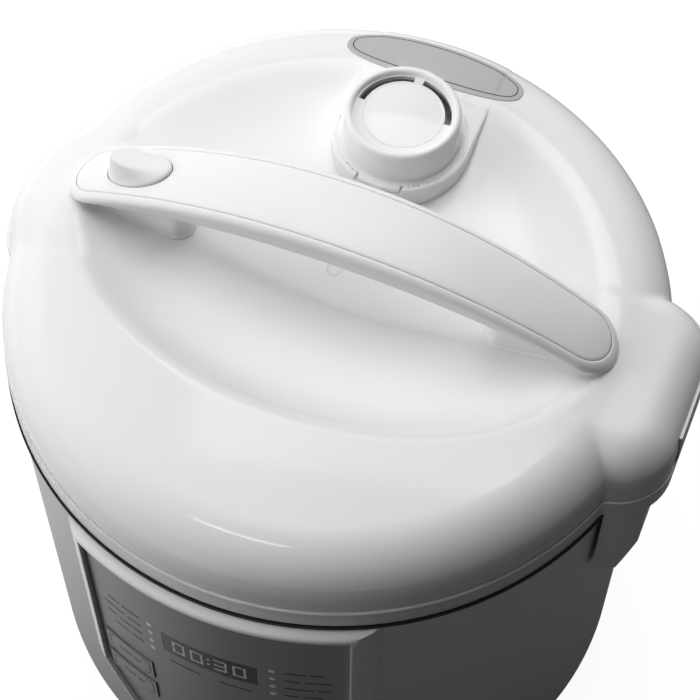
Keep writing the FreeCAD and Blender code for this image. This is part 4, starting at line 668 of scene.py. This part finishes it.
long_x = np.linspace(-BEND_X, BEND_X, 161)
end_turn = np.radians(np.linspace(90.0, -90.0, 33))[1:-1]
outline = np.concatenate([
    np.stack([long_x, half_width(long_x)], 1),
    np.stack([BEND_X + HANDLE_END * np.cos(end_turn), HANDLE_END * np.sin(end_turn)], 1),
    np.stack([long_x[::-1], -half_width(long_x)], 1),
    np.stack([-BEND_X - HANDLE_END * np.cos(end_turn), -HANDLE_END * np.sin(end_turn)], 1),
])
spine = np.stack([np.clip(outline[:, 0], -BEND_X, BEND_X), np.zeros(len(outline))], 1)
width_here = np.hypot(*(outline - spine).T)


def cover_height(x, y):
    straight = np.minimum(np.abs(x), BEND_X)
    over = np.hypot(np.abs(x) - straight, y) / half_width(straight)
    return arch(x, *COVER_ARCH) - CROWN * over ** 2


def handle_loop(inset, drop=None, lift=None):
    """Outline drawn in to the middle line, and set below the cover's arch or above the underside's."""
    share = np.minimum(inset / width_here, 1.0)[:, None]
    x, y = (outline + (spine - outline) * share).T
    return above_ring(x, y, cover_height(x, y) - drop if lift is None else arch(x, *UNDER_ARCH) + lift)


print("handle", 2 * HANDLE_X, "mm long, outline of", len(outline), "points")

# %% [markdown]
# ## Base of the handle
# The base is a row of such loops, from the lip's inner edge over its roll, down the wall and in along the
# underside. Loops lie close together on the roll and far apart on flat parts, so the mesh stays light.

# %% Lip, wall and underside
LIP = 3.3
RIM_DROPS = ((LIP, 1.4), (LIP, 0.45), (LIP - 0.15, 0.25), (LIP - 0.6, 0.12), (2.0, 0.2), (1.2, 0.5),
             (0.6, 1.0), (0.22, 1.7), (0.03, 2.5), (0.0, 3.0), (0.25, 3.25), (0.25, 3.45))
RIM_LIFTS = ((0.35, 1.4), (0.7, 0.7), (1.4, 0.2), (2.4, 0.0), (8.0, 0.0), (30.0, 0.0))
rim_loops = [handle_loop(inset, drop) for inset, drop in RIM_DROPS]
rim_loops += [handle_loop(inset, lift=lift) for inset, lift in RIM_LIFTS]
loft("handle_rim", rim_loops, white_satin, "lid", ["handle_base"], keep_sharp=60.0)
print("handle rim of", len(rim_loops), "loops")

# %% [markdown]
# ## Cover of the handle
# The cover lies inside the lip with a small gap, which is the parting line. For the release button it needs
# an oval well: faces that touch the oval are left out, and the points round the hole are moved on to it.
# That is simpler than a boolean cut and leaves clean faces.

# %% Cover with a well for the button
BUTTON_LONG, BUTTON_WIDE = 14.5, 9.0
WELL_GAP, WELL_DEEP = 0.4, 6.0
COVER_ROWS = 12
cover_insets = [LIP + 0.28, LIP + 0.28, LIP + 0.45, LIP + 0.9, *np.linspace(5.0, 18.5, COVER_ROWS)]
cover_drops = [1.4, 0.4, 0.16, 0.04, *np.zeros(COVER_ROWS)]
cover_loops = [handle_loop(inset, drop) for inset, drop in zip(cover_insets, cover_drops)]
cover_points = np.concatenate(cover_loops)
cover_faces = grid_faces(len(cover_loops), len(outline))
well_long, well_wide = BUTTON_LONG + WELL_GAP, BUTTON_WIDE + WELL_GAP
into = np.hypot((cover_points[:, 0] - BUTTON_X) / well_long, cover_points[:, 1] / well_wide)
cut_faces = [face for face in cover_faces if min(into[list(face)]) < 1.0]
cover_faces = [face for face in cover_faces if min(into[list(face)]) >= 1.0]
for v in {v for face in cut_faces for v in face if into[v] >= 1.0}:
    cover_points[v, 0] = BUTTON_X + (cover_points[v, 0] - BUTTON_X) / into[v]
    cover_points[v, 1] /= into[v]
    cover_points[v, 2] = RING_Z + cover_height(cover_points[v, 0], cover_points[v, 1])
handle_cover = piece("handle_cover", cover_points, cover_faces, white_satin, "lid", ["handle_top"],
                     keep_sharp=50.0)


def beside_well(co):
    return abs(math.hypot((co.x / MM - BUTTON_X) / well_long, co.y / MM / well_wide) - 1.0) < 0.02


print("well edges", wall_down(handle_cover, beside_well, WELL_DEEP))

# %% [markdown]
# ## Handle legs
# Each end of the handle stands on a web with a rounded nose, where a screw comes up from below. The web
# ends on the dish with a small foot. Its lower edge follows the lid's own field, so it meets the dish
# without a gap.

# %% Webs under the handle
LEG_R, LEG_END = 7.5, 107.0
# Growth of the outline and height above the lid. The first row lies just inside the handle instead.
WEB_ROWS = ((-0.3, None), (0.0, 2.0), (0.1, 1.5), (0.8, 1.2), (1.0, 0.8), (1.0, -0.8))


def web_outline(grow):
    """Plan of the right web: a round nose, two sides and a flat outer end."""
    nose = np.radians(np.linspace(90.0, 270.0, 31))
    r = LEG_R + grow
    sides = np.linspace(LEG_X, LEG_END, 24)[1:]
    return np.concatenate([
        np.stack([LEG_X + r * np.cos(nose), r * np.sin(nose)], 1),
        np.stack([sides, np.full_like(sides, -r)], 1),
        np.stack([sides[::-1], np.full_like(sides, r)], 1),
    ])


for which, facing in (("right", 1.0), ("left", -1.0)):
    levels = []
    for grow, above in WEB_ROWS:
        x, y = web_outline(grow).T
        z = arch(x, *UNDER_ARCH) + 0.6
        if above is not None:
            z = np.minimum(lid_height(x * facing, y) + above, z - 0.1)
        levels.append(above_ring(x * facing, y, z))
    loft("handle_web_" + which, levels, white_satin, "lid", keep_sharp=50.0)
print("webs of", len(WEB_ROWS), "rows")

# %% [markdown]
# ## Release button
# Pressing the button opens the steam valve through a rod and a lever. It is an oval with a flat top for a
# finger tip and soft flanks. Loops of the same oval, each smaller and higher, follow the handle's arch at
# the edge and end on the level top.

# %% Oval button
BUTTON_TOP = 60.9
TOP_SHIFT = np.array([-4.3, 0.0])  # the flat lies nearer to the handle's end
TOP_SHARE, EDGE_SHARE, EDGE_UP = 0.56, 0.96, 1.3  # size of the flat, and where the soft edge ends
EDGE_ROWS = ((1.0, -3.2), (1.0, 0.5), (0.985, 0.95), (EDGE_SHARE, EDGE_UP))
FLANK_ROWS = ((0.15, 0.13), (0.4, 0.40), (0.65, 0.67), (0.8, 0.82), (0.9, 0.905), (0.97, 0.955),
              (1.05, 0.985), (1.15, 1.0), (1.4, 1.0), (1.7, 1.0), (2.0, 1.0))
oval_turn = np.radians(all_round(3.0))
edge = np.column_stack([BUTTON_LONG * np.cos(oval_turn), BUTTON_WIDE * np.sin(oval_turn)])
seat_z = cover_height(BUTTON_X + edge[:, 0], edge[:, 1])
button_rows = []
for share, up in EDGE_ROWS:
    button_rows.append(above_ring(BUTTON_X + edge[:, 0] * share, edge[:, 1] * share, seat_z + up))
for climb, height in FLANK_ROWS:
    share = EDGE_SHARE + (TOP_SHARE - EDGE_SHARE) * climb
    if climb > 1.5:
        share = TOP_SHARE * 0.9 * (2.0 - climb)
    flat = edge * max(share, 0.0) + TOP_SHIFT * min(climb, 1.0)
    z = (seat_z + EDGE_UP) * (1.0 - height) + BUTTON_TOP * height
    button_rows.append(above_ring(BUTTON_X + flat[:, 0], flat[:, 1], z))
loft("release_button_skin", button_rows, white_satin, "release_button", ["release_button"], keep_sharp=70.0)
print("button top", round(max(row[:, 2].max() for row in button_rows), 2))

# %% [markdown]
# ## Badge
# A thin oval plate is let on to the lid behind the cap, bare but for its printed border line. It bends a
# little with the lid's rim. Its points lie on the lid, raised by a fraction of a millimetre, so it needs no
# cut-out.

# %% Oval plate and its border line
BADGE_Y, BADGE_LONG, BADGE_WIDE = 117.0, 41.0, 12.0
BADGE_BEND = 300.0  # radius that the badge follows round the rim
BADGE_BLUNT = 0.8  # under 1, the oval's ends are blunter
BADGE_LIFT, LINE_LIFT = 0.34, 0.39


def badge_loop(inset, lift):
    """Blunt oval that bends with the lid's rim, laid on the lid."""
    c, d = np.cos(oval_turn), np.sin(oval_turn)
    x = max(BADGE_LONG - inset, 0.0) * np.sign(c) * np.abs(c) ** BADGE_BLUNT
    across = (BADGE_WIDE - inset) * np.sign(d) * np.abs(d) ** BADGE_BLUNT
    y = BADGE_Y + across - x ** 2 / (2.0 * BADGE_BEND)
    return above_ring(x, y, lid_height(x, y) + lift)


badge_steps = [(-0.05, -0.3), (0.0, 0.1), (0.12, 0.28), (0.4, BADGE_LIFT)]
badge_steps += [(inset, BADGE_LIFT) for inset in np.linspace(1.0, 11.9, 14)]
badge_rows = [badge_loop(inset, lift) for inset, lift in badge_steps]
around = len(oval_turn)
badge_faces = grid_faces(len(badge_rows), around)
badge_faces.append(tuple(range((len(badge_rows) - 1) * around, len(badge_rows) * around)))
piece("badge_skin", np.concatenate(badge_rows), badge_faces, badge_silver, "lid", ["badge_plate"],
      keep_sharp=60.0)
loft("badge_border", [badge_loop(inset, LINE_LIFT) for inset in (2.4, 2.9)], print_dark, "lid")
print("badge", len(badge_faces), "faces")

# %% [markdown]
# ## Gate mark
# Plastic enters the lid's mould in the middle of the dish, under the handle, and leaves a small round mark
# there. It is a low bead, a few millimetres across, that follows the dish.

# %% Round mark in the dish
GATE_X, GATE_Y = -4.0, 6.0
mark_rows = []
for r, lift in ((3.6, -0.1), (3.3, 0.12), (3.0, 0.2), (2.7, 0.12), (2.4, -0.1)):
    x, y = GATE_X + r * np.cos(oval_turn), GATE_Y + r * np.sin(oval_turn)
    mark_rows.append(above_ring(x, y, lid_height(x, y) + lift))
loft("gate_mark", mark_rows, white_gloss, "lid", keep_sharp=80.0)
print("gate mark at", GATE_X, GATE_Y)

# %% [markdown]
# ## Ring edge and seam
# The ring's top edge shows below the lid as one thin light line, because the moulding has a small bead
# there that catches the light. Under the ring, a black strip in the joint to the steel shell is painted
# shade for the shadowed gap there.
# The bead follows the ring's outline, which is a circle with an ear on each side; the strip is a plain
# circle.

# %% Bead on the ring and strip under it
RING_R = 142.0
RIGHT_EAR = (156.0, 46.0, 26.0)  # reach, half width and corner
LEFT_EAR = (151.0, 36.0, 29.0)
PAST_EARS = 175.0
LIP_ROWS = ((-2.2, -0.3), (-2.0, 0.06), (-0.7, 0.06), (-0.3, -0.02), (0.0, -0.3), (0.08, -0.7),
            (0.06, -1.1), (-0.1, -1.3))  # distance from the outline and height
STRIP_ROWS = ((140.6, -11.0), (142.7, -11.2), (142.7, -13.0), (140.6, -13.4))
lip_turn = np.radians(all_round(0.5))


def ear_reach(r):
    return ear_plan(r * np.cos(lip_turn), r * np.sin(lip_turn), RIGHT_EAR, LEFT_EAR)


outline_r = boundary(ear_reach, RING_R, PAST_EARS)
lip_rows = []
for out, up in LIP_ROWS:
    x = np.clip((outline_r + out) * np.cos(lip_turn), -LEFT_EAR[0], RIGHT_EAR[0])
    lip_rows.append(above_ring(x, (outline_r + out) * np.sin(lip_turn), up))
loft("ring_lip", lip_rows, white_gloss, "body", keep_sharp=70.0)
# painted shade: a black strip in the shadowed gap between ring and shell, standing out a little
loft("seam_shade_strip", stack(lip_turn, STRIP_ROWS), seam_shade_black, "body", keep_sharp=50.0)
print("ring outline", round(outline_r.min(), 2), "to", round(outline_r.max(), 2))

# %% [markdown]
# ## Panel frame
# The control panel sits in a white frame with a broad sloping edge that rolls over to the grey film. At the
# top corners the two slopes meet in a mitre. The frame is bent round the shell, so each loop is the same
# six-cornered outline, drawn in a little more and set at its own distance from the axis.

# %% Frame and film under its upper edge
PANEL_TOP, PANEL_LOW, KNEE_Z = 231.0, 61.0, 105.0
PANEL_HALF, FOOT_HALF = 70.0, 45.0
FACE_R = 144.4
# Distance from the axis, and how far the outline is drawn in at the sides and at the top
FRAME_ROWS = ((140.9, 0.0, 0.0), (142.6, 1.6, 0.1), (144.2, 3.4, 0.3), (145.6, 6.0, 0.75),
              (146.4, 8.0, 1.4), (146.8, 9.0, 2.2), (146.9, 9.6, 3.2), (146.8, 9.9, 4.2),
              (146.4, 10.1, 4.7), (144.0, 10.1, 4.7))
SIDE_STEPS = (60, 16, 10, 40, 10, 16)
panel_lean = math.atan2(PANEL_HALF - FOOT_HALF, KNEE_Z - PANEL_LOW)


def on_front(r, x, z):
    """Points on the front of a cylinder about the cooker's axis."""
    return np.column_stack([x, -np.sqrt(r ** 2 - np.asarray(x) ** 2), z * np.ones_like(x)])


def frame_outline(side, top):
    half = PANEL_HALF - side
    knee = KNEE_Z + side * math.tan(panel_lean / 2.0)
    foot = FOOT_HALF + side * math.tan(panel_lean) - side / math.cos(panel_lean)
    high, low = PANEL_TOP - top, PANEL_LOW + side
    corners = np.array([(-half, high), (half, high), (half, knee), (foot, low), (-foot, low), (-half, knee),
                        (-half, high)])
    sides = zip(corners, corners[1:], SIDE_STEPS)
    runs = [a + (b - a) * (np.arange(n) / n)[:, None] for a, b, n in sides]
    return np.concatenate(runs)


frame_rows = [on_front(r, *frame_outline(side, top).T) for r, side, top in FRAME_ROWS]
loft("bezel_skin", frame_rows, white_satin, "body", ["panel_bezel"], keep_sharp=32.0)


def tiles(name, boxes, r, paint, body, thick=0.06, sunk=0.05):
    """Thin printed or applied tiles on the panel's front, from left, right, low and high edges."""
    points, faces = [], []
    for left, right, low, high in boxes:
        x = np.linspace(left, right, int((right - left) / 2.0) + 2)
        start = len(points)
        for out, z in ((-sunk, low), (thick, low), (thick, high), (-sunk, high)):
            points.extend(on_front(r + out, x, z))
        n = len(x)
        faces += [tuple(start + v for v in face) for face in grid_faces(4, n, closed=False)]
        faces += [tuple(start + k * n for k in range(4)), tuple(start + k * n + n - 1 for k in range(4))]
    return piece(name, points, faces, paint, body, keep_sharp=30.0)


tiles("face_top_strip", [(-60.5, 60.5, 214.5, 226.6)], FACE_R, panel_film, "body", thick=0.04)
print("panel frame of", len(frame_rows), "loops")

# %% [markdown]
# ## Print on the panel
# Beside the two columns of lamps the film has a printed rhythm of short dark dashes. The display shows plain
# digits in its window, of up to seven bars each. A picture on the film would do too, but thin tiles
# bent round the panel's front are real shapes, so everything printed is made of them.

# %% Label rows and digits
LABELS = ((9, 6), (7, 11), (12, 5), (6, 8))  # lengths of the dashes in each row
LABEL_ROWS = (-57.0, -65.0, -73.0, -81.0)
LABEL_FROM, LABEL_GAP, LABEL_HALF = 33.0, 1.6, 0.6
LOW_ROW = -83.6


def label(left, right, row):
    return left, right, RING_Z + row - LABEL_HALF, RING_Z + row + LABEL_HALF


label_boxes = []
for row, words in zip(LABEL_ROWS, LABELS):
    for facing in (1.0, -1.0):
        at = LABEL_FROM
        for long in words:
            label_boxes.append(label(*sorted((facing * at, facing * (at + long))), row))
            at += long + LABEL_GAP
label_boxes += [label(-19.0, -5.0, LOW_ROW), label(4.0, 19.0, LOW_ROW)]
tiles("panel_labels", label_boxes, FACE_R, print_dark, "body")

DISPLAY_Z = RING_Z - 66.0
DIGIT_X, DIGIT_Z, BAR_HALF = 2.4, 4.6, 0.55  # half a digit's width and height, half a bar's
BARS = {"a": (-1, 1, 1, 1), "b": (1, 1, 0, 1), "c": (1, 1, -1, 0), "d": (-1, 1, -1, -1),
        "e": (-1, -1, -1, 0), "f": (-1, -1, 0, 1), "g": (-1, 1, 0, 0)}
digit_boxes = []
for at, lit in ((-14.0, "abcdef"), (-5.5, "abcdef"), (5.5, "abcdg"), (14.0, "abcdef")):
    for bar in lit:
        left, right, low, high = BARS[bar]
        digit_boxes.append((at + DIGIT_X * left - BAR_HALF, at + DIGIT_X * right + BAR_HALF,
                            DISPLAY_Z + DIGIT_Z * low - BAR_HALF, DISPLAY_Z + DIGIT_Z * high + BAR_HALF))
digit_boxes += [(-0.6, 0.6, DISPLAY_Z + at, DISPLAY_Z + 1.2 + at) for at in (-3.0, 2.0)]
tiles("display_digits", digit_boxes, FACE_R, print_pale, "body", thick=0.03)
print("labels", len(label_boxes), "digit bars", len(digit_boxes))

# %% [markdown]
# ## Marks on the keys
# Each key carries a thin outline with round corners and two short bars. Both are placed from the key's own
# box, so they stay on it, and they ride on the key's body, so they go in when it is pressed.

# %% Outline and bars of each key
KEY_R = FACE_R + 0.8
OUTLINE_HALF = (8.0, 3.5)  # middles of the outline's corners from the key's middle
OUTLINE_CORNER = 5.0
MARK_BARS = ((-6.0, 1.0), (2.2, 6.0))
MARK_HALF = 0.7
OUTLINE_ROWS = ((1.6, -0.05), (1.6, 0.06), (2.1, 0.06), (2.1, -0.05))  # inset and lift
round_turn = np.radians(all_round(6.0))
keys = sorted(node for node in solids if node.startswith("key_"))
for key in keys:
    key_low, key_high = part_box(key)
    x, z = [0.5 * (key_low[axis] + key_high[axis]) / MM for axis in (0, 2)]
    loops = []
    for inset, out in OUTLINE_ROWS:
        corner = OUTLINE_CORNER - inset
        px = x + np.sign(np.cos(round_turn)) * OUTLINE_HALF[0] + corner * np.cos(round_turn)
        pz = z + np.sign(np.sin(round_turn)) * OUTLINE_HALF[1] + corner * np.sin(round_turn)
        loops.append(on_front(KEY_R + out, px, pz))
    loft(key + "_outline", loops, print_dark, key, keep_sharp=30.0)
    bars = [(x + left, x + right, z - MARK_HALF, z + MARK_HALF) for left, right in MARK_BARS]
    tiles(key + "_mark", bars, KEY_R, print_dark, key)
print("keys", len(keys))

# %% [markdown]
# ## Springs
# Two coil springs push the sensor and the button back up. A spring stands with one end on a fixed piece and
# the other on the moving one, so it gets shorter when the piece is pressed. Each coil is a wire swept along
# a helix, from its lower end to its upper end, in the box of the spring's solid.

# %% Coils between two bodies
WIRE, COIL_TURNS = 0.5, 4.0


def coil_spring(name, node):
    """Coil in a node's box, from its lower end to its upper end."""
    low, high = [np.array(corner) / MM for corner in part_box(node)]
    middle = 0.5 * (low + high)
    r = 0.5 * (high[0] - low[0]) - WIRE
    along = np.linspace(0.0, 1.0, int(COIL_TURNS * 40) + 1)
    ring_turn = np.radians(all_round(36.0))
    n = len(ring_turn)
    rows = []
    for share in along:
        angle = 2.0 * math.pi * COIL_TURNS * share
        height = low[2] + WIRE + (high[2] - low[2] - 2.0 * WIRE) * share
        out = r + WIRE * np.cos(ring_turn)
        rows.append(np.column_stack([middle[0] + out * math.cos(angle), middle[1] + out * math.sin(angle),
                                     height + WIRE * np.sin(ring_turn)]))
    ends = [tuple(range(n)), tuple(range((len(rows) - 1) * n, len(rows) * n))]
    made = skinned(name, np.concatenate(rows), grid_faces(len(rows), n) + ends, screw_zinc, 40.0)
    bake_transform(made)
    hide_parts(node)
    return round(high[2] - low[2], 2)


print("sensor spring", coil_spring("sensor_coil", "sensor_spring"))
print("button spring", coil_spring("button_coil", "button_spring"))

# %% [markdown]
# ## Solids as they are
# The other solids keep their shape and only need a finish, the hidden ones too. A table of each finish and
# its nodes is easier to read than one call for each. Keys get the panel's film, and the rest is plated.

# %% Finish every solid
PAINTS = (
    (ring_white, "top_ring"),
    (white_satin, "left_side_handle right_side_handle panel_bezel handle_base handle_top release_button"),
    (white_satin, "steam_cap_ring steam_cap_disc"),
    (shell_steel, "outer_shell"),
    (housing_zinc, "outer_pot"),
    (pot_metal, "inner_pot"),
    (lid_steel, "inner_lid seal_holder vent_tube vent_shield"),
    (heater_cast, "heating_plate sensor_probe"),
    (milky_silicone, "sealing_ring float_bush"),
    (foot_rubber, "rubber_feet"),
    (base_black, "base_cover inlet_socket holder_nut release_lever"),
    (panel_film, "panel_face"),
    (window_dark, "display_window"),
    (lamp_pale, "indicator_lights"),
    (board_green, "control_board power_board"),
    (electric_grey, "board_components thermal_cutout pressure_switch display_module tact_switches"),
    (pin_brass, "inlet_pins heater_terminals"),
    (badge_silver, "badge_plate"),
)
paint_of = {node: paint for paint, nodes in PAINTS for node in nodes.split()}
for node, made in solids.items():
    paint = paint_of.get(node, panel_film if node.startswith("key_") else screw_zinc)
    made.data.materials.clear()
    made.data.materials.append(paint)
print("painted solids", len(solids))
